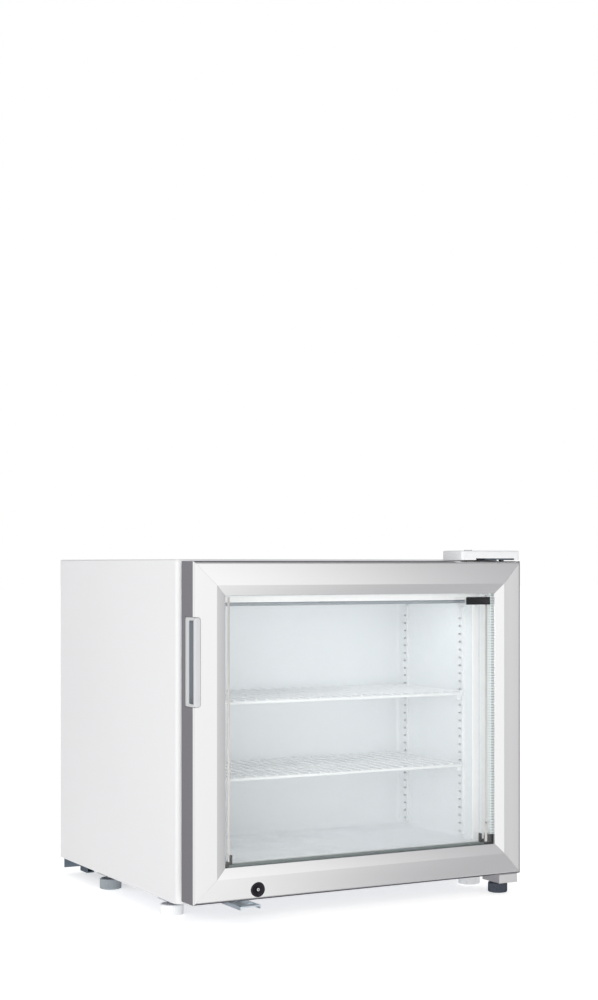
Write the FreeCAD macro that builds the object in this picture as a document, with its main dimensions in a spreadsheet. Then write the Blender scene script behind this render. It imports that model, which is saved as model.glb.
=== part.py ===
import FreeCAD, Part
import Sketcher
import math
import os

# Countertop glass-door display freezer, about fifty litres.
# +X is to the right seen from the front, -Y is the front, +Z is up, the floor is z = 0.
# All lengths are in millimetres. Every size is a cell of the sheet "Dims" or a sum of such cells.

os.makedirs("parts", exist_ok=True)
doc = FreeCAD.newDocument("display_freezer")
sheet = doc.addObject("Spreadsheet::Sheet", "Dims")

DIMS = [
    # overall
    ("cab_width", 570.0), ("overall_depth", 542.5), ("ridge_proud", 4.5),
    ("cab_bottom", 25.8), ("cab_top", 531.1), ("cab_front", 59.0), ("cab_rear", 538.0),
    ("sheet_steel", 1.0), ("corner_radius", 9.0), ("edge_radius", 3.0),
    # storage space
    ("liner_half", 232.0), ("liner_floor", 82.0), ("liner_ceiling", 467.0), ("liner_rear", 286.0),
    ("liner_wall", 1.5), ("liner_radius", 6.0), ("trim_half", 256.0), ("trim_low", 72.0), ("trim_high", 490.0),
    ("trim_thick", 2.0), ("foam_rear", 345.0),
    # pilasters and shelves
    ("pilaster_depth", 4.0), ("pilaster_width", 12.0), ("pilaster_low", 88.5), ("pilaster_len", 366.0),
    ("pilaster_front", 84.0), ("pilaster_back", 252.0), ("slot_pitch", 12.7), ("slot_high", 3.0), ("slot_wide", 8.0),
    ("slot_first", 93.7), ("slot_count", 28), ("upper_shelf_top", 321.0), ("lower_shelf_top", 206.0), ("wire_dia", 3.0), ("rod_dia", 5.0),
    ("shelf_half", 224.0), ("shelf_front", 78.0), ("shelf_back", 272.0), ("wire_pitch", 18.5), ("wire_count", 25),
    # door
    ("door_half", 285.5), ("door_bottom", 34.0), ("door_top", 528.5), ("door_thick", 45.3),
    ("frame_face", 50.3), ("frame_ridge", 35.0), ("frame_wall", 2.4), ("rabbet", 37.0), ("rabbet_rear", 24.0), ("rear_wall", 14.0),
    ("pane_edge", 38.0), ("pane_side", 39.8), ("pane_front", 2.8), ("pane_thick", 4.0), ("pane_rear", 20.0),
    ("gasket_thick", 13.3),
    # grip
    ("grip_low", 318.0), ("grip_high", 448.0), ("grip_lip", 12.0), ("grip_deep", 19.5), ("grip_rear", 29.0),
    # lock
    ("lock_x", -183.5), ("lock_z", 49.6), ("lock_radius", 11.0), ("bolt_y", 17.5),
    # hinges
    ("hinge_x", 263.0), ("hinge_y", 22.0), ("pin_radius", 4.0), ("bush_radius", 4.06),
    # feet
    ("foot_x", 266.5), ("foot_front", 118.0), ("foot_back", 359.0), ("foot_radius", 17.5), ("foot_high", 17.0),
    ("hinge_foot_x", 268.0), ("hinge_foot_y", 39.0), ("hinge_foot_radius", 15.5),
    # cooling unit
    ("rear_panel_y", 524.0), ("compressor_x", 130.0), ("compressor_y", 440.0), ("compressor_radius", 62.0),
    ("fan_x", -155.0), ("fan_z", 150.0), ("fan_radius", 70.0), ("tube_radius", 4.0),
    ("fin_count", 26), ("fin_pitch", 7.0),
]
for row, (alias, value) in enumerate(DIMS, 1):
    sheet.set("A%d" % row, alias)
    sheet.set("B%d" % row, str(value))
    sheet.setAlias("B%d" % row, alias)
doc.recompute()


class Size:
    """A length that carries both its value and the sheet expression it comes from."""

    def __init__(self, text, value):
        self.text = text
        self.value = float(value)

    @staticmethod
    def of(x):
        if isinstance(x, Size):
            return x
        return Size("(%r)" % float(x), x)

    def __add__(self, o):
        o = Size.of(o)
        return Size("(%s + %s)" % (self.text, o.text), self.value + o.value)

    __radd__ = __add__

    def __sub__(self, o):
        o = Size.of(o)
        return Size("(%s - %s)" % (self.text, o.text), self.value - o.value)

    def __rsub__(self, o):
        return Size.of(o) - self

    def __mul__(self, o):
        o = Size.of(o)
        return Size("(%s * %s)" % (self.text, o.text), self.value * o.value)

    __rmul__ = __mul__

    def __truediv__(self, o):
        o = Size.of(o)
        return Size("(%s / %s)" % (self.text, o.text), self.value / o.value)

    def __neg__(self):
        return Size("(0 - %s)" % self.text, -self.value)


def D(alias):
    return Size("Dims.%s" % alias, float(sheet.get(alias)))


def Y(v):
    """Depth counted from the outer edge of the door's front face; the frame's origin is at mid depth."""
    return Size.of(v) + D("ridge_proud") - D("overall_depth") / 2


OUT = []
count = [0]


def fresh(stem):
    count[0] += 1
    return "%s_%03d" % (stem, count[0])


def keep(obj, label):
    obj.Label = label
    OUT.append(obj)
    return obj


def box(x0, x1, y0, y1, z0, z1):
    x0, x1, y0, y1, z0, z1 = [Size.of(q) for q in (x0, x1, y0, y1, z0, z1)]
    b = doc.addObject("Part::Box", fresh("Block"))
    for name, q in (("Length", x1 - x0), ("Width", y1 - y0), ("Height", z1 - z0),
                    ("Placement.Base.x", x0), ("Placement.Base.y", y0), ("Placement.Base.z", z0)):
        b.setExpression(name, q.text)
    b.Length, b.Width, b.Height = x1.value - x0.value, y1.value - y0.value, z1.value - z0.value
    return b


TURN = {"z": FreeCAD.Rotation(), "x": FreeCAD.Rotation(FreeCAD.Vector(0, 1, 0), 90),
        "y": FreeCAD.Rotation(FreeCAD.Vector(1, 0, 0), -90)}


def cyl(axis, r, length, x, y, z):
    """A cylinder that starts at x, y, z and runs along +axis."""
    r, length, x, y, z = [Size.of(q) for q in (r, length, x, y, z)]
    c = doc.addObject("Part::Cylinder", fresh("Round"))
    c.Placement = FreeCAD.Placement(FreeCAD.Vector(x.value, y.value, z.value), TURN[axis])
    for name, q in (("Radius", r), ("Height", length), ("Placement.Base.x", x), ("Placement.Base.y", y),
                    ("Placement.Base.z", z)):
        c.setExpression(name, q.text)
    return c


def fuse(*objs):
    f = doc.addObject("Part::MultiFuse", fresh("Joined"))
    f.Shapes = list(objs)
    return f


def cut(base, *tools):
    tool = tools[0] if len(tools) == 1 else fuse(*tools)
    c = doc.addObject("Part::Cut", fresh("Cut"))
    c.Base, c.Tool = base, tool
    return c


def group(*objs):
    """Several separate solids of one kind kept as one sub-part."""
    g = doc.addObject("Part::Compound", fresh("Set"))
    g.Links = list(objs)
    return g


def along(edge, axis):
    a, b = edge.Vertexes[0].Point, edge.Vertexes[-1].Point
    d = b - a
    return len(edge.Vertexes) == 2 and d.Length > 1e-6 and abs(abs(d[axis]) - d.Length) < 1e-6


def edge_numbers(shape, axis, test):
    found = []
    for i, e in enumerate(shape.Edges, 1):
        if along(e, axis) and test(e.CenterOfMass):
            found.append(i)
    return found


def rounded(base, groups):
    """groups: list of (radius, axis, test)."""
    doc.recompute()
    f = doc.addObject("Part::Fillet", fresh("Soft"))
    f.Base = base
    edges = []
    for radius, axis, test in groups:
        for n in edge_numbers(base.Shape, axis, test):
            edges.append((n, float(radius), float(radius)))
    f.Edges = edges
    return f


PLANES = {"xy": "XY_Plane", "xz": "XZ_Plane", "yz": "YZ_Plane"}


def sketch(body, plane, loops, offset=0.0):
    """loops: lists of (u, v) corners, or ("circle", u, v, r). Every corner is dimensioned from the origin."""
    sk = body.newObject("Sketcher::SketchObject", fresh("Sketch"))
    origin_plane = [o for o in body.Origin.OriginFeatures if o.Role == PLANES[plane]][0]
    sk.AttachmentSupport = [(origin_plane, "")]
    sk.MapMode = "FlatFace"
    off = Size.of(offset)
    if plane == "xz":
        off = -off
    sk.AttachmentOffset = FreeCAD.Placement(FreeCAD.Vector(0, 0, off.value), FreeCAD.Rotation())
    sk.setExpression("AttachmentOffset.Base.z", off.text)
    con = Sketcher.Constraint

    def pin(kind, geo, point, q):
        if abs(q.value) < 1e-9:
            k = sk.addConstraint(con("PointOnObject", geo, point, -2 if kind == "DistanceX" else -1))
            return
        k = sk.addConstraint(con(kind, -1, 1, geo, point, q.value))
        sk.setExpression("Constraints[%d]" % k, q.text)

    for loop in loops:
        if loop[0] == "circle":
            u, v, r = [Size.of(q) for q in loop[1:]]
            g = sk.addGeometry(Part.Circle(FreeCAD.Vector(u.value, v.value, 0), FreeCAD.Vector(0, 0, 1), r.value), False)
            pin("DistanceX", g, 3, u)
            pin("DistanceY", g, 3, v)
            k = sk.addConstraint(con("Radius", g, r.value))
            sk.setExpression("Constraints[%d]" % k, r.text)
            continue
        pts = [(Size.of(a), Size.of(b)) for a, b in loop]
        first = sk.GeometryCount
        n = len(pts)
        for i in range(n):
            a, b = pts[i], pts[(i + 1) % n]
            sk.addGeometry(Part.LineSegment(FreeCAD.Vector(a[0].value, a[1].value, 0),
                                            FreeCAD.Vector(b[0].value, b[1].value, 0)), False)
        for i in range(n):
            sk.addConstraint(con("Coincident", first + i, 2, first + (i + 1) % n, 1))
        for i in range(n):
            pin("DistanceX", first + i, 1, pts[i][0])
            pin("DistanceY", first + i, 1, pts[i][1])
    return sk


def new_body(stem):
    body = doc.addObject("PartDesign::Body", fresh(stem))
    if hasattr(body, "AllowCompound"):
        body.AllowCompound = True
    return body


def pad(body, plane, loops, start, end):
    """Pads the loops from start to end along the plane's axis."""
    start, end = Size.of(start), Size.of(end)
    sk = sketch(body, plane, loops, start)
    p = body.newObject("PartDesign::Pad", fresh("Pad"))
    p.Profile = sk
    p.Length = end.value - start.value
    p.setExpression("Length", (end - start).text)
    p.Reversed = plane == "xz"
    doc.recompute()
    return p


def pocket(body, plane, loops, start, end):
    """Cuts the loops out between start and end along the plane's axis."""
    start, end = Size.of(start), Size.of(end)
    before = body.Shape.Volume
    sk = sketch(body, plane, loops, start)
    p = body.newObject("PartDesign::Pocket", fresh("Pocket"))
    p.Profile = sk
    p.Length = end.value - start.value
    p.setExpression("Length", (end - start).text)
    p.Reversed = plane != "xz"
    doc.recompute()
    if not body.Shape.Volume < before - 1e-3:
        raise RuntimeError("pocket cuts nothing in " + body.Name)
    return p


def linear(body, feature, axis_role, length, times, reverse=False):
    before = body.Shape.Volume
    axis = [o for o in body.Origin.OriginFeatures if o.Role == axis_role][0]
    pattern = body.newObject("PartDesign::LinearPattern", fresh("Row"))
    pattern.Originals = [feature]
    pattern.Direction = (axis, [""])
    pattern.Reversed = reverse
    length, times = Size.of(length), Size.of(times)
    pattern.Length = length.value
    pattern.setExpression("Length", length.text)
    pattern.Occurrences = int(times.value)
    pattern.setExpression("Occurrences", times.text)
    body.Tip = pattern
    doc.recompute()
    if abs(body.Shape.Volume - before) < 1e-3:
        raise RuntimeError("pattern adds nothing in " + body.Name)
    return pattern


def rect(a0, a1, b0, b1):
    return [(a0, b0), (a1, b0), (a1, b1), (a0, b1)]


# ------------------------------------------------------------------ cabinet shell
HALF = D("cab_width") / 2
ST = D("sheet_steel")
FRONT, REAR, LOW, TOP = Y(D("cab_front")), Y(D("cab_rear")), D("cab_bottom"), D("cab_top")
LH, LF, LC, LR = D("liner_half"), D("liner_floor"), D("liner_ceiling"), Y(D("liner_rear"))
LW = D("liner_wall")

v = {k: D(k).value for k, _ in DIMS}
yf, yr = FRONT.value, REAR.value

skin_outer = rounded(box(-HALF, HALF, FRONT, REAR, LOW, TOP), [
    (v["corner_radius"], 2, lambda c: c.y < yf + 1),
    (v["edge_radius"], 1, lambda c: c.z > v["cab_top"] - 1),
    (v["edge_radius"], 0, lambda c: c.z > v["cab_top"] - 1 and c.y < yf + 1),
])
skin_inner = rounded(box(-HALF + ST, HALF - ST, FRONT + ST, REAR + 10, LOW - 10, TOP - ST), [
    (v["corner_radius"] - v["sheet_steel"], 2, lambda c: c.y < yf + 2),
    (v["edge_radius"] - v["sheet_steel"], 1, lambda c: c.z > v["cab_top"] - 2),
    (v["edge_radius"] - v["sheet_steel"], 0, lambda c: c.z > v["cab_top"] - 2 and c.y < yf + 2),
])
keep(cut(skin_outer, skin_inner,
         box(-D("trim_half"), D("trim_half"), FRONT - 5, FRONT + 5, D("trim_low"), D("trim_high"))), "outer_wrap")

# insulated body: foam block with the cavity, the coil recess and two pipe ways
foam = rounded(box(-HALF + ST, HALF - ST, FRONT + 2, Y(D("foam_rear")), LOW + ST, TOP - ST), [
    (9.0, 2, lambda c: c.y < yf + 5),
    (4.0, 1, lambda c: c.z > v["cab_top"] - 5),
    (4.0, 0, lambda c: c.z > v["cab_top"] - 5 and c.y < yf + 5)])
keep(cut(foam,
         box(-LH - LW, LH + LW, FRONT, LR + LW, LF - LW, LC + LW),
         box(-190, 190, LR, LR + LW + 13.5, 110, 445),
         cyl("y", 6.5, 120, -150, LR, 122), cyl("y", 6.5, 120, -150, LR, 432)), "foam_insulation")

liner_out = box(-LH - LW, LH + LW, FRONT + 2, LR + LW, LF - LW, LC + LW)
lr = v["liner_radius"]
liner_in = rounded(box(-LH, LH, FRONT - 5, LR, LF, LC), [
    (lr, 0, lambda c: c.y > LR.value - 1), (lr, 2, lambda c: c.y > LR.value - 1), (lr, 1, lambda c: True)])
keep(cut(liner_out, liner_in), "inner_liner")

trim = new_body("FrontTrim")
pad(trim, "xz", [rect(-D("trim_half"), D("trim_half"), D("trim_low"), D("trim_high")), rect(-LH, LH, LF, LC)],
    FRONT, FRONT + D("trim_thick"))
keep(trim, "front_trim_frame")

keep(rounded(box(-HALF + ST, HALF - ST, FRONT + 1.2, Y(D("foam_rear")), LOW, LOW + ST), [(9.0, 2, lambda c: c.y < yf + 5)]), "bottom_pan")
keep(cut(box(-HALF + ST, HALF - ST, Y(D("foam_rear")), Y(D("foam_rear")) + 0.8, LOW + ST, TOP - 3.5),
         *[cyl("y", D("tube_radius") + 0.6, 10, -150, Y(D("foam_rear")) - 3, z) for z in (122, 432)]), "compartment_wall")

# ------------------------------------------------------------------ storage space fittings
PD, PW = D("pilaster_depth"), D("pilaster_width")


def pilaster(side, y0):
    b = new_body("Pilaster")
    wall, web = LH * side, (LH - PD) * side
    inner = (LH - PD + 1) * side
    pts = [(wall, y0), (web, y0), (web, y0 + PW), (wall, y0 + PW), (wall, y0 + PW - 1), (inner, y0 + PW - 1),
           (inner, y0 + 1), (wall, y0 + 1)]
    pad(b, "xy", [pts], D("pilaster_low"), D("pilaster_low") + D("pilaster_len"))
    mid = y0 + PW / 2
    lo, hi = (web - 1, inner + 1) if side > 0 else (inner - 1, web + 1)
    hole = pocket(b, "yz", [rect(mid - D("slot_wide") / 2, mid + D("slot_wide") / 2,
                                 D("slot_first") - D("slot_high") / 2, D("slot_first") + D("slot_high") / 2)], lo, hi)
    linear(b, hole, "Z_Axis", D("slot_pitch") * (D("slot_count") - 1), D("slot_count"))
    return b


keep(group(pilaster(-1, Y(D("pilaster_front"))), pilaster(1, Y(D("pilaster_front"))),
           pilaster(-1, Y(D("pilaster_back"))), pilaster(1, Y(D("pilaster_back")))), "shelf_pilasters")

WR, RR = D("wire_dia") / 2, D("rod_dia") / 2


def shelf(label, top):
    b = new_body("Shelf")
    wz = top - WR
    rz = wz - WR - RR + 0.5
    rods = [("circle", Y(D("shelf_front")) + q, rz, RR) for q in (0.0, 97.0, 194.0)]
    pad(b, "yz", rods, -D("shelf_half"), D("shelf_half"))
    pitch = D("wire_pitch")
    n = int(v["wire_count"])
    first = pitch * (-(n - 1) / 2.0)
    wires = [("circle", first + pitch * i, wz, WR) for i in range(n)]
    pad(b, "xz", wires, Y(D("shelf_front")) - 2.5, Y(D("shelf_back")) + 2.5)
    keep(b, label)


shelf("upper_wire_shelf", D("upper_shelf_top"))
shelf("lower_wire_shelf", D("lower_shelf_top"))


def clips(top, slot_index):
    parts = []
    slot_z = D("slot_first") + D("slot_pitch") * slot_index
    for side in (-1, 1):
        for y0 in (Y(D("pilaster_front")), Y(D("pilaster_back"))):
            mid = y0 + PW / 2
            a, b_, c_ = (LH - PD) * side, (LH - PD - 9) * side, (LH - PD + 2.6) * side
            body = (a, b_) if side < 0 else (b_, a)
            tab = (c_, a + 0.5) if side < 0 else (a - 0.5, c_)
            seat = box(body[0], body[1], mid - 5, mid + 5, top - WR * 2 - 13, top - WR * 2)
            hook = box(tab[0], tab[1], mid - 3, mid + 3, slot_z - 1.1, slot_z + 1.1)
            parts.append(fuse(seat, hook))
    return parts


keep(group(*(clips(D("upper_shelf_top"), 17) + clips(D("lower_shelf_top"), 8))), "shelf_clips")

keep(box(-200, 200, FRONT + 14, FRONT + 30, LC - 6, LC), "light_strip")


# tube along straight runs with tangent bends, sizes read from the sheet
def tube(label, pts, bend, radius):
    V = FreeCAD.Vector
    pts = [V(*p) for p in pts]
    edges = []
    start = pts[0]
    for i in range(1, len(pts) - 1):
        a, b, c = pts[i - 1], pts[i], pts[i + 1]
        u, w = (a - b), (c - b)
        u.normalize()
        w.normalize()
        half = u.getAngle(w) / 2
        t = bend / math.tan(half)
        p, q = b + u * t, b + w * t
        if (p - start).Length > 1e-6:
            edges.append(Part.LineSegment(start, p).toShape())
        bis = u + w
        bis.normalize()
        centre = b + bis * (bend / math.sin(half))
        mid = centre - bis * bend
        edges.append(Part.Arc(p, mid, q).toShape())
        start = q
    edges.append(Part.LineSegment(start, pts[-1]).toShape())
    wire = Part.Wire(edges)
    d = (pts[1] - pts[0])
    ring = Part.Wire(Part.makeCircle(radius, pts[0], d))
    solid = wire.makePipeShell([ring], True, False)
    f = doc.addObject("Part::Feature", fresh("Tube"))
    f.Shape = solid
    f.Placement = FreeCAD.Placement()
    want = math.pi * radius * radius * wire.Length
    if abs(f.Shape.Volume - want) > 0.02 * want:
        raise RuntimeError("tube volume is off in %s: %s %s" % (label, f.Shape.Volume, want))
    f.Label = label
    return f


TR = v["tube_radius"]
ev_y = LR.value + v["liner_wall"] + 7.0
ev = [(-150, Y(352).value, 122), (-150, ev_y, 122)]
for i in range(5):
    end = 165 if i % 2 == 0 else -165
    ev += [(end, ev_y, 122 + 62 * i), (end, ev_y, 122 + 62 * (i + 1))]
ev += [(-150, ev_y, 432), (-150, Y(352).value, 432)]
keep(tube("evaporator_tube", ev, 12.0, TR), "evaporator_tube")

# ------------------------------------------------------------------ rear compartment
RP = Y(D("rear_panel_y"))
base = new_body("BasePlate")
pad(base, "yz", [[(Y(345.9), LOW), (RP - 1.5, LOW), (RP - 1.5, 10.0), (RP - 0.01, 10.0), (RP - 0.01, LOW + 1.5), (Y(345.9), LOW + 1.5)]],
    -HALF + ST + 0.5, HALF - ST - 0.5)
pocket(base, "xy", [rect(-225, -180, Y(396), Y(424)), rect(-172, -127, Y(396), Y(424)), rect(-119, -74, Y(396), Y(424))], LOW - 1, LOW + 3)

rail_a = [(-270, LOW), (-270, 10.0), (-257, 10.0), (-257, LOW), (-258.5, LOW), (-258.5, 11.5), (-268.5, 11.5), (-268.5, LOW)]
rail_b = [(-a, b) for a, b in rail_a][::-1]
rails = new_body("BaseRails")
pad(rails, "xz", [rail_a, rail_b], Y(454), Y(484))
keep(fuse(base, rails), "compressor_base")

panel = new_body("RearPanel")
pad(panel, "xz", [rect(-HALF + ST + 0.3, HALF - ST - 0.3, LOW + 1.6, TOP - ST - 2.5)], RP, RP + 1.0)
slot_a = pocket(panel, "xz", [rect(-245, -165, 62.0, 67.0), rect(-145, -65, 62.0, 67.0), rect(60, 130, 62.0, 67.0), rect(145, 215, 62.0, 67.0)],
                RP - 1, RP + 3)
linear(panel, slot_a, "Z_Axis", 12.0 * 15, 16)
pocket(panel, "xz", [("circle", 205.0, 420.0, 6.5), ("circle", -235.0, 46.0, 7.0), rect(-215, -185, 400, 421)], RP - 1, RP + 3)
keep(panel, "rear_panel")

# compressor: welded pot, terminal box, mounting plate on four grommets
CX, CY = v["compressor_x"], Y(v["compressor_y"]).value
CXq, CYq = D("compressor_x"), Y(D("compressor_y"))
pot_r = D("compressor_radius")
pot_c = cyl("z", pot_r, 118.0, CXq, CYq, 42.0)
doc.recompute()
pot_f = doc.addObject("Part::Fillet", fresh("Soft"))
pot_f.Base = pot_c
ring_edges = [(i, 26.0, 26.0) for i, e in enumerate(pot_c.Shape.Edges, 1) if isinstance(e.Curve, Part.Circle)]
pot_f.Edges = ring_edges
seam = cyl("z", pot_r + 3.0, 4.0, CXq, CYq, 98.0)
legs = [(CXq + sx * 78, CYq + sy * 46) for sx in (-1, 1) for sy in (-1, 1)]
feet_plate = cut(box(CXq - 92, CXq + 92, CYq - 58, CYq + 58, 39.0, 42.0), *[cyl("z", 5.0, 10, x, y, 36.0) for x, y in legs])
keep(fuse(pot_f, seam, feet_plate), "compressor")
grom = []
for x, y in legs:
    grom.append(cut(cyl("z", 10.0, 11.6, x, y, 27.35), cyl("z", 4.1, 40, x, y, 20.0)))
keep(group(*grom), "rubber_grommets")
studs = []
for x, y in legs:
    studs.append(fuse(cyl("z", 4.0, 18.0, x, y, 27.35), cyl("z", 7.5, 3.4, x, y, 42.0)))
keep(group(*studs), "grommet_bolts")
keep(rounded(box(CXq - 30, CXq + 30, CYq - 83, CYq - 66, 70, 128), [(3.0, 2, lambda c: True)]), "terminal_box")

# condenser: fin pack on a serpentine tube, fan plate, motor and blades
FX, FZ = D("fan_x"), D("fan_z")
fy0, fy1 = Y(482), Y(516)
tube_rows = [FZ - 75 + 30 * i for i in range(6)]
fins = new_body("Fins")
fin_first = FX - D("fin_pitch") * (D("fin_count") - 1) / 2
fin = pad(fins, "yz", [rect(fy0, fy1, FZ - 92, FZ + 92)] + [("circle", Y(499), z, D("tube_radius") + 0.05) for z in tube_rows],
          fin_first - 0.2, fin_first + 0.2)
linear(fins, fin, "X_Axis", D("fin_pitch") * (D("fin_count") - 1), D("fin_count"))
keep(fins, "condenser_fins")
cpts = []
s_ = -1
for i, z in enumerate(tube_rows):
    cpts.append((v["fan_x"] - s_ * 108, Y(499).value, z.value))
    cpts.append((v["fan_x"] + s_ * 108, Y(499).value, z.value))
    s_ = -s_
keep(tube("condenser_tube", cpts, 14.8, TR), "condenser_tube")

plate = new_body("FanPlate")
pad(plate, "xz", [rect(FX - 100, FX + 100, 27.4, FZ + 96), ("circle", FX, FZ, D("fan_radius") + 4)], Y(477), Y(478.2))
pad(plate, "xz", [("circle", FX, FZ, D("fan_radius") + 5.2), ("circle", FX, FZ, D("fan_radius") + 4)], Y(462), Y(477))
arms = [box(FX - 85, FX + 85, Y(430), Y(432), FZ - 8, FZ + 8), box(FX - 85, FX - 83, Y(432), Y(477), FZ - 8, FZ + 8),
        box(FX + 83, FX + 85, Y(432), Y(477), FZ - 8, FZ + 8)]
keep(fuse(plate, *arms), "fan_plate")
keep(cut(fuse(box(FX - 26, FX + 26, Y(432.1), Y(447), FZ - 26, FZ + 26), cyl("y", 12, 5, FX, Y(447), FZ)),
         cyl("y", 2.06, 40, FX, Y(433), FZ)), "fan_motor")
blades = [cyl("y", 18.0, 16.0, FX, Y(455), FZ), cyl("y", 2.0, 14.0, FX, Y(441.2), FZ)]
for i in range(5):
    a = doc.addObject("Part::Box", fresh("Blade"))
    a.Length, a.Width, a.Height = 54.0, 1.6, 34.0
    a.setExpression("Length", (D("fan_radius") - 16).text)
    rot = FreeCAD.Rotation(FreeCAD.Vector(0, 1, 0), 72.0 * i).multiply(FreeCAD.Rotation(FreeCAD.Vector(1, 0, 0), 30.0))
    off = rot.multVec(FreeCAD.Vector(15.0, -0.8, -17.0))
    a.Placement = FreeCAD.Placement(FreeCAD.Vector(v["fan_x"], Y(463).value, v["fan_z"]) + off, rot)
    a.setExpression("Placement.Base.x", (FX + off.x).text)
    a.setExpression("Placement.Base.y", (Y(463) + off.y).text)
    a.setExpression("Placement.Base.z", (FZ + off.z).text)
    blades.append(a)
keep(fuse(*blades), "fan_blades")

p499, p372, p352 = Y(499).value, Y(372).value, Y(352).value
pipe_hot = tube("pipe_hot", [(CX - 62.0, CY - 8, 118), (25, CY - 8, 118), (25, CY - 8, 225), (25, p499, 225), (-46.9, p499, 225)], 14.0, 3.0)
pipe_liquid = tube("pipe_liquid", [(-46.9, p499, 75), (-20, p499, 75), (-20, CY - 30, 75), (-20, CY - 30, 129.9)], 12.0, 3.0)
pipe_feed = tube("pipe_feed", [(-20, CY - 30, 240.1), (-20, CY - 30, 300), (-150, CY - 30, 300), (-150, CY - 30, 432), (-150, p352 + 0.1, 432)], 12.0, 3.0)
pipe_cold = tube("pipe_cold", [(-150, p352 + 0.1, 122), (-150, p372, 122), (-40, p372, 122), (-40, p372, 200), (CX - 15, p372, 200),
                               (CX - 15, CY, 200), (CX - 15, CY, 160.1)], 9.0, 3.5)
keep(group(pipe_hot, pipe_liquid, pipe_feed, pipe_cold), "refrigerant_pipes")
drier = fuse(cyl("z", 9.5, 70.0, -20, CYq - 30, 150.0), cyl("z", 3.0, 110.0, -20, CYq - 30, 130.0))
keep(drier, "filter_drier")

# controls and cord inlet on the rear panel
keep(box(180, 230, RP - 36, RP, 392, 448), "thermostat_body")
knob = cut(fuse(cyl("y", 15.0, 9.0, 205, RP + 1.6, 420), cyl("y", 6.0, 1.6, 205, RP + 0.05, 420)), box(203.8, 206.2, RP + 9.2, RP + 12, 424, 440))
keep(knob, "thermostat_knob")
keep(cut(fuse(box(-221, -179, RP + 1.05, RP + 3.4, 394, 427), box(-214.7, -185.3, RP - 14, RP + 1.1, 400.3, 420.7)),
         box(-213.6, -186.4, RP - 2.8, RP + 10, 401.2, 419.8)), "light_switch_bezel")
keep(box(-213.2, -186.8, RP + 0.4, RP + 6.5, 402.2, 418.8), "light_switch_rocker")
keep(cut(fuse(cyl("y", 6.9, 10.0, -235, RP - 6, 46), cyl("y", 10.5, 9.0, -235, RP + 1.05, 46)), cyl("y", 4.0, 60, -235, RP - 20, 46)), "cord_gland")

# ------------------------------------------------------------------ door
DH, DB, DT, TH = D("door_half"), D("door_bottom"), D("door_top"), D("door_thick")
FF, FR, FW, RB, RBR, RW = D("frame_face"), D("frame_ridge"), D("frame_wall"), D("rabbet"), D("rabbet_rear"), D("rear_wall")
RP_ = D("ridge_proud")


def rail_section():
    """(inset from the outer edge, depth) of the extruded door frame: outer outline and hollow chamber."""
    outer = [(0, 1.4), (0.5, 0.45), (1.6, -0.1), (FR - 1, -RP_ + 0.12), (FR, -RP_), (FR + 1, -RP_ + 0.3), (FF - 1, -0.75), (FF, -0.1), (FF, 2.6), (RB, 2.6),
             (RB, RBR), (RW, RBR), (RW, TH), (0.8, TH), (0, TH - 0.8)]
    chamber = [(FW, 4.2), (FR - 4, -RP_ + FW + 1.6), (FR - 1.0, -RP_ + FW + 1.6), (FR + 0.1, 2.4), (RB - FW, 4.4), (RB - FW, RBR - FW), (RW - FW, RBR - FW), (RW - FW, TH - FW), (FW, TH - FW)]
    return outer, chamber


def rail_vertical(label, side):
    outer, chamber = rail_section()
    b = new_body("Rail")
    loops = [[((DH - u) * side, Y(d)) for u, d in outer], [((DH - u) * side, Y(d)) for u, d in chamber]]
    pad(b, "xy", loops, DB, DT)
    far = 60
    x0, x1 = DH * side, (DH - far) * side
    for z, s in ((DB, 1), (DT, -1)):
        pocket(b, "xz", [[(x0, z), (x1, z), (x1, z + far * s)]], Y(-10), Y(60))
    return b


def rail_horizontal(label, z, s):
    outer, chamber = rail_section()
    b = new_body("Rail")
    loops = [[(Y(d), z + Size.of(u) * s) for u, d in outer], [(Y(d), z + Size.of(u) * s) for u, d in chamber]]
    pad(b, "yz", loops, -DH, DH)
    far = 60
    for side in (-1, 1):
        x0, x1 = DH * side, (DH - far) * side
        pocket(b, "xz", [[(x0, z), (x0, z + far * s), (x1, z + far * s)]], Y(-10), Y(60))
    return b


GL, GH = D("grip_low"), D("grip_high")
left = rail_vertical("door_rail_left", -1)
doc.recompute()
left = cut(left, box(-300, -DH + D("grip_lip") - 1.4, Y(-10), Y(D("grip_rear")), GL, GH),
           box(-300, -DH + D("grip_deep") + 1.0, Y(2.6), Y(21.8), GL, GH))
keep(left, "door_rail_left")
hole_top = cyl("z", D("bush_radius") + 3.0, 80, D("hinge_x"), Y(D("hinge_y")), DT - 22)
hole_low = cyl("z", D("bush_radius") + 3.0, 80, D("hinge_x"), Y(D("hinge_y")), DB - 58)
right = rail_vertical("door_rail_right", 1)
keep(cut(right, hole_top, hole_low), "door_rail_right")
top_rail = rail_horizontal("door_rail_top", DT, -1)
keep(cut(top_rail, cyl("z", D("bush_radius") + 3.0, 80, D("hinge_x"), Y(D("hinge_y")), DT - 22)), "door_rail_top")
low_rail = rail_horizontal("door_rail_bottom", DB, 1)
lock_hole = fuse(cyl("y", 9.0, 14.0, D("lock_x"), Y(-8), D("lock_z")), cyl("y", D("lock_radius") + 0.1, 7.5, D("lock_x"), Y(-8), D("lock_z")))
bolt_hole = box(D("lock_x") - 3.4, D("lock_x") + 3.4, Y(D("bolt_y")) - 3.9, Y(D("bolt_y")) + 3.9, DB - 5, DB + 8)
low_rail = cut(low_rail, lock_hole, bolt_hole, cyl("z", D("bush_radius") + 3.0, 80, D("hinge_x"), Y(D("hinge_y")), DB - 58))
keep(low_rail, "door_rail_bottom")

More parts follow.
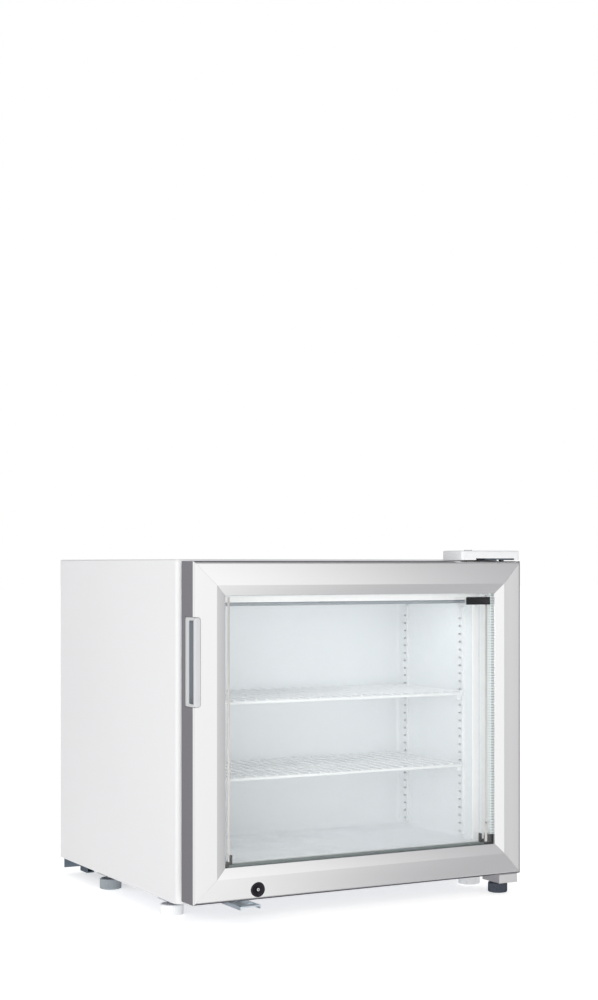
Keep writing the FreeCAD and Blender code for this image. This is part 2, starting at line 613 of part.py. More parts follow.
PE = D("pane_edge")
PX, PZ0, PZ1 = DH - D("pane_side"), DB + PE, DT - PE
PF, PT, PR = D("pane_front"), D("pane_thick"), D("pane_rear")
keep(box(-PX, PX, Y(PF), Y(PF + PT), PZ0, PZ1), "outer_glass_pane")
keep(box(-PX, PX, Y(PR), Y(PR + PT), PZ0, PZ1), "inner_glass_pane")
spacer = new_body("Spacer")
pad(spacer, "xz", [rect(-PX + 5, PX - 5, PZ0 + 5, PZ1 - 5), rect(-PX + 13.5, PX - 13.5, PZ0 + 13.5, PZ1 - 13.5)], Y(PF + PT + 0.6), Y(PR))
keep(spacer, "glass_spacer")
keep(group(box(-229, -224, Y(PF + PT), Y(PF + PT + 0.5), PZ0 + 14, PZ1 - 14), box(220, 225, Y(PF + PT), Y(PF + PT + 0.5), PZ0 + 14, PZ1 - 14)), "heater_busbars")
keep(group(box(-231.5, -217, Y(PR - 5), Y(PR), PZ0 + 14, PZ0 + 28), box(217, 231.5, Y(PR - 5), Y(PR), PZ0 + 14, PZ0 + 28)), "glass_corner_blocks")

inner_frame = new_body("InnerFrame")
ix, iz0, iz1 = DH - RW - 0.2, DB + RW + 0.2, DT - RW - 0.2
pad(inner_frame, "xz", [rect(-ix, ix, iz0, iz1), rect(-DH + FF, DH - FF, DB + FF, DT - FF)], Y(RBR + 0.1), Y(TH))
keep(cut(inner_frame, cyl("z", D("bush_radius") + 3.05, 80, D("hinge_x"), Y(D("hinge_y")), DT - 22),
         cyl("z", D("bush_radius") + 3.05, 80, D("hinge_x"), Y(D("hinge_y")), DB - 58)), "door_inner_frame")
gasket = new_body("Gasket")
g0 = Y(TH)


def ring(a, b):
    return [rect(-DH + a, DH - a, DB + a, DT - a), rect(-DH + b, DH - b, DB + b, DT - b)]


pad(gasket, "xz", ring(27.5, 45.0), g0, g0 + 2.2)
pad(gasket, "xz", ring(30.5, 41.0), g0 + 2.2, g0 + 7.0)
pad(gasket, "xz", ring(28.5, 43.5), g0 + 7.0, g0 + D("gasket_thick"))
keep(gasket, "door_gasket")

keys = []
kf = Y(7.0)
for side in (-1, 1):
    for z, s in ((DB, 1), (DT, -1)):
        x0 = (DH - 5) * side
        b = new_body("CornerKey")
        pad(b, "xz", [[(x0, z + 5 * s), (x0, z + 60 * s), ((DH - 28) * side, z + 60 * s), ((DH - 28) * side, z + 28 * s),
                       ((DH - 60) * side, z + 28 * s), ((DH - 60) * side, z + 5 * s)]], kf, kf + 7)
        keys.append(b)
keep(group(*keys), "corner_keys")

bushes = []
for z0, z1 in ((DT - 22, DT - 0.2), (DB + 0.2, DB + 22)):
    bushes.append(cut(cyl("z", D("bush_radius") + 2.95, z1 - z0, D("hinge_x"), Y(D("hinge_y")), z0),
                      cyl("z", D("bush_radius"), 60, D("hinge_x"), Y(D("hinge_y")), z0 - 20)))
keep(group(*bushes), "hinge_bushes")

# grip: cup let into the left rail, open to the side, with a lip on the front face
gl, gh = GL + 0.3, GH - 0.3
grip_outer = fuse(box(-DH, -DH + D("grip_lip") - 1.7, Y(-3.2), Y(D("grip_rear") - 0.3), gl, gh),
                  box(-DH, -DH + D("grip_deep") + 0.7, Y(2.9), Y(21.5), gl, gh))
keep(cut(grip_outer, box(-DH - 5, -DH + D("grip_deep") - 1.6, Y(2.4), Y(18.8), GL + 5, GH - 5),
         box(-DH - 5, -DH + D("grip_lip") - 3.6, Y(0.0), Y(10), GL + 5, GH - 5)), "door_grip")
keep(box(183.5, 228.0, Y(PF - 1.4), Y(PF), 460.5, 472.5), "badge_plate")

# lock in the bottom rail
LX, LZ = D("lock_x"), D("lock_z")
lock_y = -2.0
keep(cut(fuse(cyl("y", D("lock_radius"), 3.85, LX, Y(-4.4), LZ), cyl("y", 8.9, 9.5, LX, Y(-2.2), LZ)), cyl("y", 6.56, 40, LX, Y(-10), LZ)), "lock_housing")
keep(cut(fuse(cyl("y", 6.5, 14.6, LX, Y(-4.0), LZ), box(LX - 2, LX + 2, Y(8.4), Y(10.6), LZ - 9, LZ + 2)),
         box(LX - 0.7, LX + 0.7, Y(-6), Y(-1.0), LZ - 2.5, LZ + 2.5)), "lock_barrel")
keep(fuse(box(LX - 3, LX + 3, Y(D("bolt_y")) - 3.5, Y(D("bolt_y")) + 3.5, DB + 0.3, DB + 30), box(LX - 3, LX + 3, Y(D("bolt_y")) - 6.5, Y(D("bolt_y")) - 3.5, DB + 20, DB + 26)), "lock_bolt")

# ------------------------------------------------------------------ hinges and the parts under the cabinet
HX, HY = D("hinge_x"), Y(D("hinge_y"))
bracket = cut(box(222, 281, Y(6), Y(95), TOP, TOP + 2.5), cyl("z", 2.6, 20, 235, Y(80), TOP - 5), cyl("z", 2.6, 20, 268, Y(80), TOP - 5))
keep(fuse(bracket, cyl("z", D("pin_radius"), 22.0, HX, HY, TOP - 19.5)), "top_hinge_bracket")
cover_outer = rounded(box(173.8, 283.2, Y(0), Y(56), TOP - 0.8, TOP + 13.9), [
    (4.0, 2, lambda c: True), (2.0, 0, lambda c: c.z > v["cab_top"] + 5), (2.0, 1, lambda c: c.z > v["cab_top"] + 5)])
cover_tail = rounded(box(215.8, 283.2, Y(50), Y(100), TOP + 0.3, TOP + 9.0), [(4.0, 2, lambda c: c.y > Y(90).value), (2.0, 1, lambda c: c.z > v["cab_top"] + 5)])
keep(cut(fuse(cover_outer, cover_tail), box(176.0, 281.3, Y(2.2), Y(53.6), TOP - 5, TOP + 11.6), box(218.0, 281.3, Y(48), Y(97.8), TOP - 5, TOP + 6.8),
         cyl("z", 2.0, 20, 200.0, Y(22), TOP + 2), box(207.0, 271.0, Y(-5), Y(8), TOP - 5, TOP + 3.1)), "hinge_cover")
screw_a = fuse(cyl("z", 6.0, 1.2, 200.0, Y(22), TOP + 13.92), cyl("z", 1.9, 12.0, 200.0, Y(22), TOP + 3))

screws = [fuse(cyl("z", 4.6, 2.4, x, Y(80), TOP + 2.52), cyl("z", 2.5, 2.6, x, Y(80), TOP + 0.02)) for x in (235, 268)]

low = new_body("BottomHinge")
pad(low, "yz", [[(Y(8), 19.0), (Y(8), 32.5), (Y(57.5), 32.5), (Y(57.5), LOW - 0.02), (Y(105), LOW - 0.02), (Y(105), LOW - 2.5), (Y(55.2), LOW - 2.5), (Y(55.2), 30.0),
                 (Y(10.3), 30.0), (Y(10.3), 19.0)]], 250.0, 284.0)
low_cut = cut(low, cyl("z", 4.3, 12, D("hinge_foot_x"), Y(D("hinge_foot_y")), 26), cyl("z", 2.6, 20, 260, Y(70), 15), cyl("z", 2.6, 20, 260, Y(92), 15))
keep(fuse(low_cut, box(281.7, 284.0, Y(10.3), Y(55.2), 19.0, 30.0), box(250.0, 252.3, Y(10.3), Y(55.2), 19.0, 30.0), cyl("z", D("pin_radius"), 22.0, HX, HY, 31.0)), "bottom_hinge_bracket")
screws += [fuse(cyl("z", 4.6, 2.4, 260, y, LOW - 4.95), cyl("z", 2.5, 4.9, 260, y, LOW - 4.95)) for y in (Y(70), Y(92))]

strike = new_body("Strike")
sx0, sz = LX - 26.5, LOW - 0.02
pad(strike, "xz", [[(sx0, 20.5), (sx0, sz), (sx0 + 33.6, sz), (sx0 + 33.6, 20.5), (sx0 + 31.8, 20.5), (sx0 + 31.8, sz - 1.8), (sx0 + 1.8, sz - 1.8), (sx0 + 1.8, 20.5)]], Y(2.0), Y(100))
strike_cut = cut(strike, box(LX - 4.2, LX + 4.2, Y(D("bolt_y")) - 6.0, Y(D("bolt_y")) + 6.0, 15, 30), cyl("z", 2.6, 20, LX - 10, Y(75), 15), cyl("z", 2.6, 20, LX - 10, Y(92), 15))
keep(strike_cut, "strike_bracket")
screws += [fuse(cyl("z", 4.6, 2.4, LX - 10, y, LOW - 4.25), cyl("z", 2.5, 4.2, LX - 10, y, LOW - 4.25)) for y in (Y(75), Y(92))]
keep(group(screw_a, *screws), "bracket_screws")

# levelling feet: ribbed pads on threaded studs, held in small steel brackets
places = [("foot_front_left", -1, "foot_front"), ("foot_front_right", 1, "foot_front"), ("foot_rear_left", -1, "foot_back"), ("foot_rear_right", 1, "foot_back")]


def foot_pattern(radius, high, ribs, stud_top, stud_r):
    r, high = Size.of(radius), Size.of(high)
    b = new_body("Foot")
    pad(b, "xy", [("circle", 0, 0, r)], 0.0, 2.0)
    corners = []
    for i in range(ribs):
        for k, rr in ((-0.30, r - 1.3), (-0.16, r), (0.16, r), (0.30, r - 1.3)):
            ang = 2 * math.pi * (i + k + 0.5) / ribs
            corners.append((rr * math.cos(ang), rr * math.sin(ang)))
    pad(b, "xy", [corners], 2.0, high - 2.0)
    pad(b, "xy", [("circle", 0, 0, r - 0.4)], high - 2.0, high)
    pad(b, "xy", [("circle", 0, 0, 6.5)], high, high + 3.0)
    pad(b, "xy", [("circle", 0, 0, stud_r)], high + 3.0, stud_top)
    return b


def place_foot(label, pattern, x, y):
    g = group(pattern)
    g.Placement = FreeCAD.Placement(FreeCAD.Vector(x.value, y.value, 0), FreeCAD.Rotation())
    g.setExpression("Placement.Base.x", x.text)
    g.setExpression("Placement.Base.y", y.text)
    keep(g, label)


white_foot = foot_pattern(D("foot_radius"), D("foot_high"), 28, 25.5, 4.0)
black_foot = foot_pattern(D("hinge_foot_radius"), 16.0, 30, 31.5, 4.0)
fb = []
for label, sx, yy in places:
    fx, fy = D("foot_x") * sx, Y(D(yy))
    place_foot(label, white_foot, fx, fy)
    if label in ("foot_front_right",):
        fb.append(cut(box(fx - 16, fx + 16, fy - 11.5, fy + 16, LOW - 2.2, LOW - 0.02), cyl("z", 4.3, 20, fx, fy, 15)))
    else:
        fb.append(cut(box(fx - 16, fx + 16, fy - 16, fy + 16, LOW - 2.2, LOW - 0.02), cyl("z", 4.3, 20, fx, fy, 15)))
keep(group(*fb), "foot_brackets")
place_foot("foot_hinge", black_foot, D("hinge_foot_x"), Y(D("hinge_foot_y")))

# ------------------------------------------------------------------ checks and output
doc.recompute()
bad = []
for o in doc.Objects:
    if "Invalid" in o.State or "Error" in o.State:
        bad.append("%s (%s): %s" % (o.Name, o.Label, o.State))
for o in OUT:
    s = getattr(o, "Shape", None)
    if s is None or s.isNull() or not s.isValid() or s.Volume <= 0 or not s.Solids:
        bad.append("shape of %s" % o.Label)
labels = [o.Label for o in OUT]
if len(set(labels)) != len(labels):
    bad.append("two sub-parts share a name")
if bad:
    raise RuntimeError("; ".join(bad))
total = None
for o in OUT:
    o.Shape.exportStep(os.path.join("parts", o.Label + ".step"))
    bb = o.Shape.BoundBox
    total = FreeCAD.BoundBox(bb) if total is None else total
    total.add(bb)
    print("%-24s solids %3d  x %8.2f %8.2f  y %8.2f %8.2f  z %7.2f %7.2f" % (
        o.Label, len(o.Shape.Solids), bb.XMin, bb.XMax, bb.YMin, bb.YMax, bb.ZMin, bb.ZMax))
print("sub-parts", len(OUT), "box", total)
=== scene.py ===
import math

import bmesh
import bpy
from mathutils import Matrix, Vector


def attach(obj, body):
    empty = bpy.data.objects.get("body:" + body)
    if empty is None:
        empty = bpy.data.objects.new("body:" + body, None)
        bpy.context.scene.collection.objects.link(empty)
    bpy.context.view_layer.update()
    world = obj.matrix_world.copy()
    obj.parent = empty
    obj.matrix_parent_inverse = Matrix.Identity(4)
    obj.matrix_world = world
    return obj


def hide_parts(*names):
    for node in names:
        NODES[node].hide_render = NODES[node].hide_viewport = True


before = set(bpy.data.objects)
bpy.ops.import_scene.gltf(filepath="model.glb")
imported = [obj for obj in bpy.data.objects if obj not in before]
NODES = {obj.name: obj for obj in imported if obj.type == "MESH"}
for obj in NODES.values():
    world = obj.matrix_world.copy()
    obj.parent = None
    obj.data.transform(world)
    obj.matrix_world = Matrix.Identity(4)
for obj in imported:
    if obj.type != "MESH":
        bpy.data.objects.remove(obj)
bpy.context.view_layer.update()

# All sizes below are in millimetres: x to the right, y as depth behind the door's front outer edge, z above the floor.
D0 = 266.75


def P(x, y, z):
    return (x / 1000.0, (y - D0) / 1000.0, z / 1000.0)


# ------------------------------------------------------------------ mesh helpers
def make(name, verts, faces, mat, body, slot=None, replaces=(), sharp=32, raw=False):
    me = bpy.data.meshes.new(name)
    me.from_pydata([v if raw else P(*v) for v in verts], [], faces)
    me.validate(clean_customdata=False)
    bm = bmesh.new()
    bm.from_mesh(me)
    bmesh.ops.remove_doubles(bm, verts=bm.verts, dist=1e-6)
    bmesh.ops.recalc_face_normals(bm, faces=bm.faces)
    bm.to_mesh(me)
    bm.free()
    ob = bpy.data.objects.new(name, me)
    bpy.context.scene.collection.objects.link(ob)
    finish_piece(ob, mat, body, replaces, sharp)
    return ob


def smooth(me, sharp):
    for p in me.polygons:
        p.use_smooth = True
    me.set_sharp_from_angle(angle=math.radians(sharp))


def finish_piece(ob, mat, body, replaces=(), sharp=32):
    if mat is not None:
        ob.data.materials.clear()
        ob.data.materials.append(mat)
    smooth(ob.data, sharp)
    if body:
        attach(ob, body)
    if replaces:
        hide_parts(*replaces)


def apply_mods(ob):
    dg = bpy.context.evaluated_depsgraph_get()
    dg.update()
    me = bpy.data.meshes.new_from_object(ob.evaluated_get(dg))
    ob.modifiers.clear()
    old = ob.data
    ob.data = me
    bpy.data.meshes.remove(old)


def join(name, objs, mat, body, slot=None, replaces=(), sharp=32):
    bm = bmesh.new()
    for o in objs:
        tmp = bmesh.new()
        tmp.from_mesh(o.data)
        me = bpy.data.meshes.new("tmp")
        tmp.to_mesh(me)
        tmp.free()
        bm.from_mesh(me)
        bpy.data.meshes.remove(me)
    me = bpy.data.meshes.new(name)
    bm.to_mesh(me)
    bm.free()
    for o in objs:
        d = o.data
        bpy.data.objects.remove(o)
        bpy.data.meshes.remove(d)
    ob = bpy.data.objects.new(name, me)
    bpy.context.scene.collection.objects.link(ob)
    finish_piece(ob, mat, body, replaces, sharp)
    return ob


def part(verts, faces):
    """A loose mesh object to be joined or used as a cutter."""
    return make("tmp_part", verts, faces, None, None)


def rounded_poly(pts, radii, seg=5):
    """Closed 2-D polygon with its corners turned into arcs."""
    out = []
    n = len(pts)
    for i in range(n):
        r = radii[i] if isinstance(radii, (list, tuple)) else radii
        p0, p, p1 = Vector(pts[i - 1]), Vector(pts[i]), Vector(pts[(i + 1) % n])
        if r <= 1e-6:
            out.append((p.x, p.y))
            continue
        a, b = (p0 - p).normalized(), (p1 - p).normalized()
        ang = a.angle(b)
        t = min(r / math.tan(ang / 2), 0.49 * (p0 - p).length, 0.49 * (p1 - p).length)
        rr = t * math.tan(ang / 2)
        c = p + (a + b).normalized() * (rr / math.sin(ang / 2))
        s, e = p + a * t, p + b * t
        a0 = math.atan2(s.y - c.y, s.x - c.x)
        a1 = math.atan2(e.y - c.y, e.x - c.x)
        d = (a1 - a0 + math.pi) % (2 * math.pi) - math.pi
        for k in range(seg + 1):
            q = a0 + d * k / seg
            out.append((c.x + rr * math.cos(q), c.y + rr * math.sin(q)))
    return out


def rrect(c1, c2, h1, h2, r, seg=6):
    """Counted the same for every radius, so loops can be bridged."""
    r = max(1e-3, min(r, h1 - 1e-4, h2 - 1e-4))
    out = []
    for sx, sy, a0 in ((1, 1, 0), (-1, 1, 90), (-1, -1, 180), (1, -1, 270)):
        cx, cy = c1 + sx * (h1 - r), c2 + sy * (h2 - r)
        for k in range(seg + 1):
            q = math.radians(a0 + 90.0 * k / seg)
            out.append((cx + r * math.cos(q), cy + r * math.sin(q)))
    return out


def place(axis, a, b, t):
    """2-D loop coordinates a, b and position t along the axis, as x, y, z."""
    if axis == "x":
        return (t, a, b)
    if axis == "y":
        return (a, t, b)
    return (a, b, t)


def loft(loops, axis, caps=(True, True)):
    """loops: list of (2-D points, position). All with one count."""
    verts, faces = [], []
    n = len(loops[0][0])
    for pts, t in loops:
        verts += [place(axis, a, b, t) for a, b in pts]
    for i in range(len(loops) - 1):
        for k in range(n):
            a, b = i * n + k, i * n + (k + 1) % n
            faces.append((a, b, b + n, a + n))
    if caps[0]:
        faces.append(tuple(range(n)))
    if caps[1]:
        faces.append(tuple(range((len(loops) - 1) * n, len(loops) * n)))
    return verts, faces


def rloft(axis, rows, seg=6, caps=(True, True)):
    """rows: (c1, c2, half1, half2, radius, position)."""
    return loft([(rrect(c1, c2, h1, h2, r, seg), t) for c1, c2, h1, h2, r, t in rows], axis, caps)


def soft_box(x0, x1, y0, y1, z0, z1, e=0.6, axis="z", r=0.8, seg=3):
    """A box with every edge rounded: r on the edges along the axis, e on the others."""
    lim = {"x": (y0, y1, z0, z1, x0, x1), "y": (x0, x1, z0, z1, y0, y1), "z": (x0, x1, y0, y1, z0, z1)}[axis]
    a0, a1, b0, b1, t0, t1 = lim
    c1, c2, h1, h2 = (a0 + a1) / 2, (b0 + b1) / 2, (a1 - a0) / 2, (b1 - b0) / 2
    rows = []
    for k in range(seg + 1):
        q = math.pi / 2 * k / seg
        rows.append((c1, c2, h1 - e * (1 - math.sin(q)), h2 - e * (1 - math.sin(q)), max(0.05, r - e * (1 - math.sin(q))), t0 + e * (1 - math.cos(q))))
    for k in range(seg, -1, -1):
        q = math.pi / 2 * k / seg
        rows.append((c1, c2, h1 - e * (1 - math.sin(q)), h2 - e * (1 - math.sin(q)), max(0.05, r - e * (1 - math.sin(q))), t1 - e * (1 - math.cos(q))))
    return rloft(axis, rows, 4)


def lathe(profile, axis, ca, cb, seg=48, ribs=0, rib_rows=(), rib_deep=1.0, per=8):
    """profile: (radius, position). With ribs, the named rows are fluted."""
    n = ribs * per if ribs else seg
    loops = []
    for i, (r, t) in enumerate(profile):
        pts = []
        for k in range(n):
            q = 2 * math.pi * k / n
            rr = r
            if i in rib_rows:
                f = (k % per) / per
                w = 0.5 - 0.5 * math.cos(2 * math.pi * f)
                rr = r - rib_deep * (w ** 3)
            pts.append((ca + rr * math.cos(q), cb + rr * math.sin(q)))
        loops.append((pts, t))
    return loft(loops, axis)


def tube(points, r, seg=12, ends=True):
    """A round bar along points, with domed ends."""
    pts = [Vector(p) for p in points]
    rings = []
    n = len(pts)
    tang = []
    for i in range(n):
        a = pts[max(0, i - 1)]
        b = pts[min(n - 1, i + 1)]
        tang.append((b - a).normalized())
    up = Vector((0, 0, 1)) if abs(tang[0].z) < 0.9 else Vector((1, 0, 0))
    nrm = (up - tang[0] * up.dot(tang[0])).normalized()
    frames = []
    for i in range(n):
        if i:
            q = tang[i - 1].rotation_difference(tang[i])
            nrm = (q @ nrm).normalized()
        frames.append((pts[i], nrm.copy(), tang[i].cross(nrm).normalized(), tang[i]))
    rows = []
    if ends:
        c, u, v, w = frames[0]
        for k in range(1, 4):
            q = math.pi / 2 * k / 4
            rows.append((c - w * (r * math.cos(q)), u, v, r * math.sin(q)))
    for c, u, v, w in frames:
        rows.append((c, u, v, r))
    if ends:
        c, u, v, w = frames[-1]
        for k in range(3, 0, -1):
            q = math.pi / 2 * k / 4
            rows.append((c + w * (r * math.cos(q)), u, v, r * math.sin(q)))
    verts, faces = [], []
    for c, u, v, rr in rows:
        for k in range(seg):
            a = 2 * math.pi * k / seg
            verts.append(tuple(c + u * (rr * math.cos(a)) + v * (rr * math.sin(a))))
    m = len(rows)
    for i in range(m - 1):
        for k in range(seg):
            a, b = i * seg + k, i * seg + (k + 1) % seg
            faces.append((a, b, b + seg, a + seg))
    faces.append(tuple(range(seg)))
    faces.append(tuple(range((m - 1) * seg, m * seg)))
    return verts, faces


def arc_path(points, bend, seg=6):
    """Straight runs joined by arcs of radius bend."""
    pts = [Vector(p) for p in points]
    out = [pts[0]]
    for i in range(1, len(pts) - 1):
        p0, p, p1 = pts[i - 1], pts[i], pts[i + 1]
        a, b = (p0 - p).normalized(), (p1 - p).normalized()
        ang = a.angle(b)
        t = min(bend / math.tan(ang / 2), 0.48 * (p0 - p).length, 0.48 * (p1 - p).length)
        rr = t * math.tan(ang / 2)
        c = p + (a + b).normalized() * (rr / math.sin(ang / 2))
        s, e = p + a * t, p + b * t
        sa, se = (s - c).normalized(), (e - c).normalized()
        om = sa.angle(se)
        for k in range(seg + 1):
            f = k / seg
            d = (sa * math.sin((1 - f) * om) + se * math.sin(f * om)) / math.sin(om)
            out.append(c + d.normalized() * rr)
    out.append(pts[-1])
    return out


def merge(*meshes):
    verts, faces = [], []
    for v, f in meshes:
        base = len(verts)
        verts += list(v)
        faces += [tuple(i + base for i in q) for q in f]
    return verts, faces


def cut_with(ob, cutters):
    for c in cutters:
        m = ob.modifiers.new("cut", "BOOLEAN")
        m.operation = "DIFFERENCE"
        m.solver = "EXACT"
        m.object = c
        apply_mods(ob)
    for c in cutters:
        d = c.data
        bpy.data.objects.remove(c)
        bpy.data.meshes.remove(d)


def bevel(ob, width, seg=3, angle=40):
    m = ob.modifiers.new("soften", "BEVEL")
    m.width = width / 1000.0
    m.segments = seg
    m.limit_method = "ANGLE"
    m.angle_limit = math.radians(angle)
    m.harden_normals = False
    apply_mods(ob)


# ------------------------------------------------------------------ materials
def nodes_of(mat):
    mat.use_nodes = True
    nt = mat.node_tree
    return nt, nt.nodes["Principled BSDF"]


def finish_mat(name, base, rough, metallic=0.0, spec=0.5, coat=0.0, coat_rough=0.1, vary=0.04, tint=None, grain=900.0,
               grain_deep=0.00002, blotch=9.0, rough_vary=0.06, stretch=(1, 1, 1), soft_edge=0.0, wear=None, dust=0.0, sheen=0.0):
    """Procedural surface: broad tone drift, fine grain in bump and roughness, optional rounded and worn edges."""
    mat = bpy.data.materials.new(name)
    nt, bs = nodes_of(mat)
    N, L = nt.nodes, nt.links
    bs.inputs["Metallic"].default_value = metallic
    bs.inputs["Specular IOR Level"].default_value = spec
    bs.inputs["Coat Weight"].default_value = coat
    bs.inputs["Coat Roughness"].default_value = coat_rough
    if sheen:
        bs.inputs["Sheen Weight"].default_value = sheen
    tc = N.new("ShaderNodeTexCoord")
    mp = N.new("ShaderNodeMapping")
    mp.inputs["Scale"].default_value = stretch
    L.new(tc.outputs["Object"], mp.inputs["Vector"])
    big = N.new("ShaderNodeTexNoise")
    big.inputs["Scale"].default_value = blotch
    big.inputs["Detail"].default_value = 3.0
    L.new(tc.outputs["Object"], big.inputs["Vector"])
    fine = N.new("ShaderNodeTexNoise")
    fine.inputs["Scale"].default_value = grain
    fine.inputs["Detail"].default_value = 2.0
    L.new(mp.outputs["Vector"], fine.inputs["Vector"])
    # colour: drift between a darker and a lighter tone
    tone = N.new("ShaderNodeMix")
    tone.data_type = "RGBA"
    t = tint or base
    lo = [max(0.0, c * (1 - vary)) for c in base]
    hi = [min(1.0, c * (1 + vary)) for c in t]
    tone.inputs["A"].default_value = (*lo, 1)
    tone.inputs["B"].default_value = (*hi, 1)
    L.new(big.outputs["Fac"], tone.inputs["Factor"])
    colour = tone.outputs["Result"]
    # roughness: broad and fine parts together
    rr = N.new("ShaderNodeMapRange")
    rr.inputs["From Min"].default_value = 0.3
    rr.inputs["From Max"].default_value = 0.7
    rr.inputs["To Min"].default_value = max(0.02, rough - rough_vary)
    rr.inputs["To Max"].default_value = min(1.0, rough + rough_vary)
    half = N.new("ShaderNodeMix")
    half.data_type = "FLOAT"
    half.inputs["Factor"].default_value = 0.5
    L.new(big.outputs["Fac"], half.inputs["A"])
    L.new(fine.outputs["Fac"], half.inputs["B"])
    L.new(half.outputs["Result"], rr.inputs["Value"])
    rough_out = rr.outputs["Result"]
    bump = N.new("ShaderNodeBump")
    bump.inputs["Strength"].default_value = 1.0
    bump.inputs["Distance"].default_value = grain_deep
    L.new(fine.outputs["Fac"], bump.inputs["Height"])
    if soft_edge:
        bv = N.new("ShaderNodeBevel")
        bv.samples = 4
        bv.inputs["Radius"].default_value = soft_edge
        L.new(bv.outputs["Normal"], bump.inputs["Normal"])
    L.new(bump.outputs["Normal"], bs.inputs["Normal"])
    if wear:
        ge = N.new("ShaderNodeNewGeometry")
        bv2 = N.new("ShaderNodeBevel")
        bv2.samples = 4
        bv2.inputs["Radius"].default_value = 0.0012
        dot = N.new("ShaderNodeVectorMath")
        dot.operation = "DOT_PRODUCT"
        L.new(bv2.outputs["Normal"], dot.inputs[0])
        L.new(ge.outputs["Normal"], dot.inputs[1])
        edge = N.new("ShaderNodeMapRange")
        edge.inputs["From Min"].default_value = 0.995
        edge.inputs["From Max"].default_value = 0.90
        edge.inputs["To Max"].default_value = 0.7
        L.new(dot.outputs["Value"], edge.inputs["Value"])
        brk = N.new("ShaderNodeMath")
        brk.operation = "MULTIPLY"
        L.new(edge.outputs["Result"], brk.inputs[0])
        L.new(fine.outputs["Fac"], brk.inputs[1])
        worn = N.new("ShaderNodeMix")
        worn.data_type = "RGBA"
        worn.inputs["B"].default_value = (*wear, 1)
        L.new(brk.outputs["Value"], worn.inputs["Factor"])
        L.new(colour, worn.inputs["A"])
        colour = worn.outputs["Result"]
    L.new(colour, bs.inputs["Base Color"])
    L.new(rough_out, bs.inputs["Roughness"])
    return mat


def clear_glass(name, tint=(0.997, 1.0, 0.999)):
    mat = bpy.data.materials.new(name)
    nt, bs = nodes_of(mat)
    N, L = nt.nodes, nt.links
    bs.inputs["Base Color"].default_value = (*tint, 1)
    bs.inputs["Roughness"].default_value = 0.0
    bs.inputs["IOR"].default_value = 1.5
    bs.inputs["Transmission Weight"].default_value = 1.0
    tc = N.new("ShaderNodeTexCoord")
    smear = N.new("ShaderNodeTexNoise")
    smear.inputs["Scale"].default_value = 14.0
    smear.inputs["Detail"].default_value = 5.0
    L.new(tc.outputs["Object"], smear.inputs["Vector"])
    rr = N.new("ShaderNodeMapRange")
    rr.inputs["From Min"].default_value = 0.62
    rr.inputs["From Max"].default_value = 0.85
    rr.inputs["To Min"].default_value = 0.0
    rr.inputs["To Max"].default_value = 0.035
    L.new(smear.outputs["Fac"], rr.inputs["Value"])
    L.new(rr.outputs["Result"], bs.inputs["Roughness"])
    lp = N.new("ShaderNodeLightPath")
    tr = N.new("ShaderNodeBsdfTransparent")
    tr.inputs["Color"].default_value = (0.992, 0.996, 0.994, 1)
    mix = N.new("ShaderNodeMixShader")
    any_ = N.new("ShaderNodeMath")
    any_.operation = "MAXIMUM"
    L.new(lp.outputs["Is Shadow Ray"], any_.inputs[0])
    L.new(lp.outputs["Is Diffuse Ray"], any_.inputs[1])
    L.new(any_.outputs["Value"], mix.inputs["Fac"])
    L.new(bs.outputs["BSDF"], mix.inputs[1])
    L.new(tr.outputs["BSDF"], mix.inputs[2])
    L.new(mix.outputs["Shader"], N["Material Output"].inputs["Surface"])
    return mat


M = {}
M["shell"] = finish_mat("shell_white_paint", (0.77, 0.77, 0.772), 0.40, vary=0.012, grain=1400, grain_deep=0.000012, blotch=3, rough_vary=0.05, spec=0.45)
M["rail_x"] = finish_mat("rail_satin_silver_across", (0.92, 0.918, 0.92), 0.205, metallic=1.0, vary=0.006, grain=1500, grain_deep=0.0000002, blotch=4, rough_vary=0.010, stretch=(0.15, 1, 1))
M["rail_z"] = finish_mat("rail_satin_silver_up", (0.92, 0.918, 0.92), 0.205, metallic=1.0, vary=0.006, grain=1500, grain_deep=0.0000002, blotch=4, rough_vary=0.010, stretch=(1, 1, 0.15))
M["liner"] = finish_mat("liner_white_sheet", (0.86, 0.885, 0.90), 0.28, vary=0.015, grain=700, grain_deep=0.00001, blotch=5, rough_vary=0.07)
M["trim"] = finish_mat("trim_white_painted_glow", (0.94, 0.94, 0.935), 0.33, vary=0.012, grain=1100, grain_deep=0.000008, blotch=6)
# painted light: a faint white emission makes the trim glow, though it is no lamp
M["trim"].node_tree.nodes["Principled BSDF"].inputs["Emission Color"].default_value = (1, 1, 0.995, 1)
M["trim"].node_tree.nodes["Principled BSDF"].inputs["Emission Strength"].default_value = 0.07
M["sealant"] = finish_mat("pane_sealant", (0.105, 0.135, 0.135), 0.5, vary=0.15, tint=(0.15, 0.185, 0.18), grain=900, grain_deep=0.00002, blotch=35)
M["wire"] = finish_mat("wire_white_coat", (0.90, 0.91, 0.92), 0.30, vary=0.02, grain=1600, grain_deep=0.00001, blotch=40)
M["upright"] = finish_mat("upright_white", (0.84, 0.86, 0.875), 0.34, vary=0.02, grain=1300, grain_deep=0.00001, blotch=12, soft_edge=0.0004)
M["clip"] = finish_mat("clip_white_nylon", (0.88, 0.90, 0.91), 0.35, vary=0.02, grain=1500, blotch=60)
M["galv"] = finish_mat("galvanised_sheet", (0.50, 0.54, 0.60), 0.36, metallic=0.9, vary=0.16, tint=(0.62, 0.66, 0.72), grain=260, grain_deep=0.00002, blotch=60, rough_vary=0.10, soft_edge=0.0003)
M["galv_dark"] = finish_mat("galvanised_base", (0.145, 0.185, 0.225), 0.42, metallic=0.85, vary=0.18, tint=(0.215, 0.26, 0.31), grain=220, grain_deep=0.00002, blotch=45, rough_vary=0.10, soft_edge=0.0003)
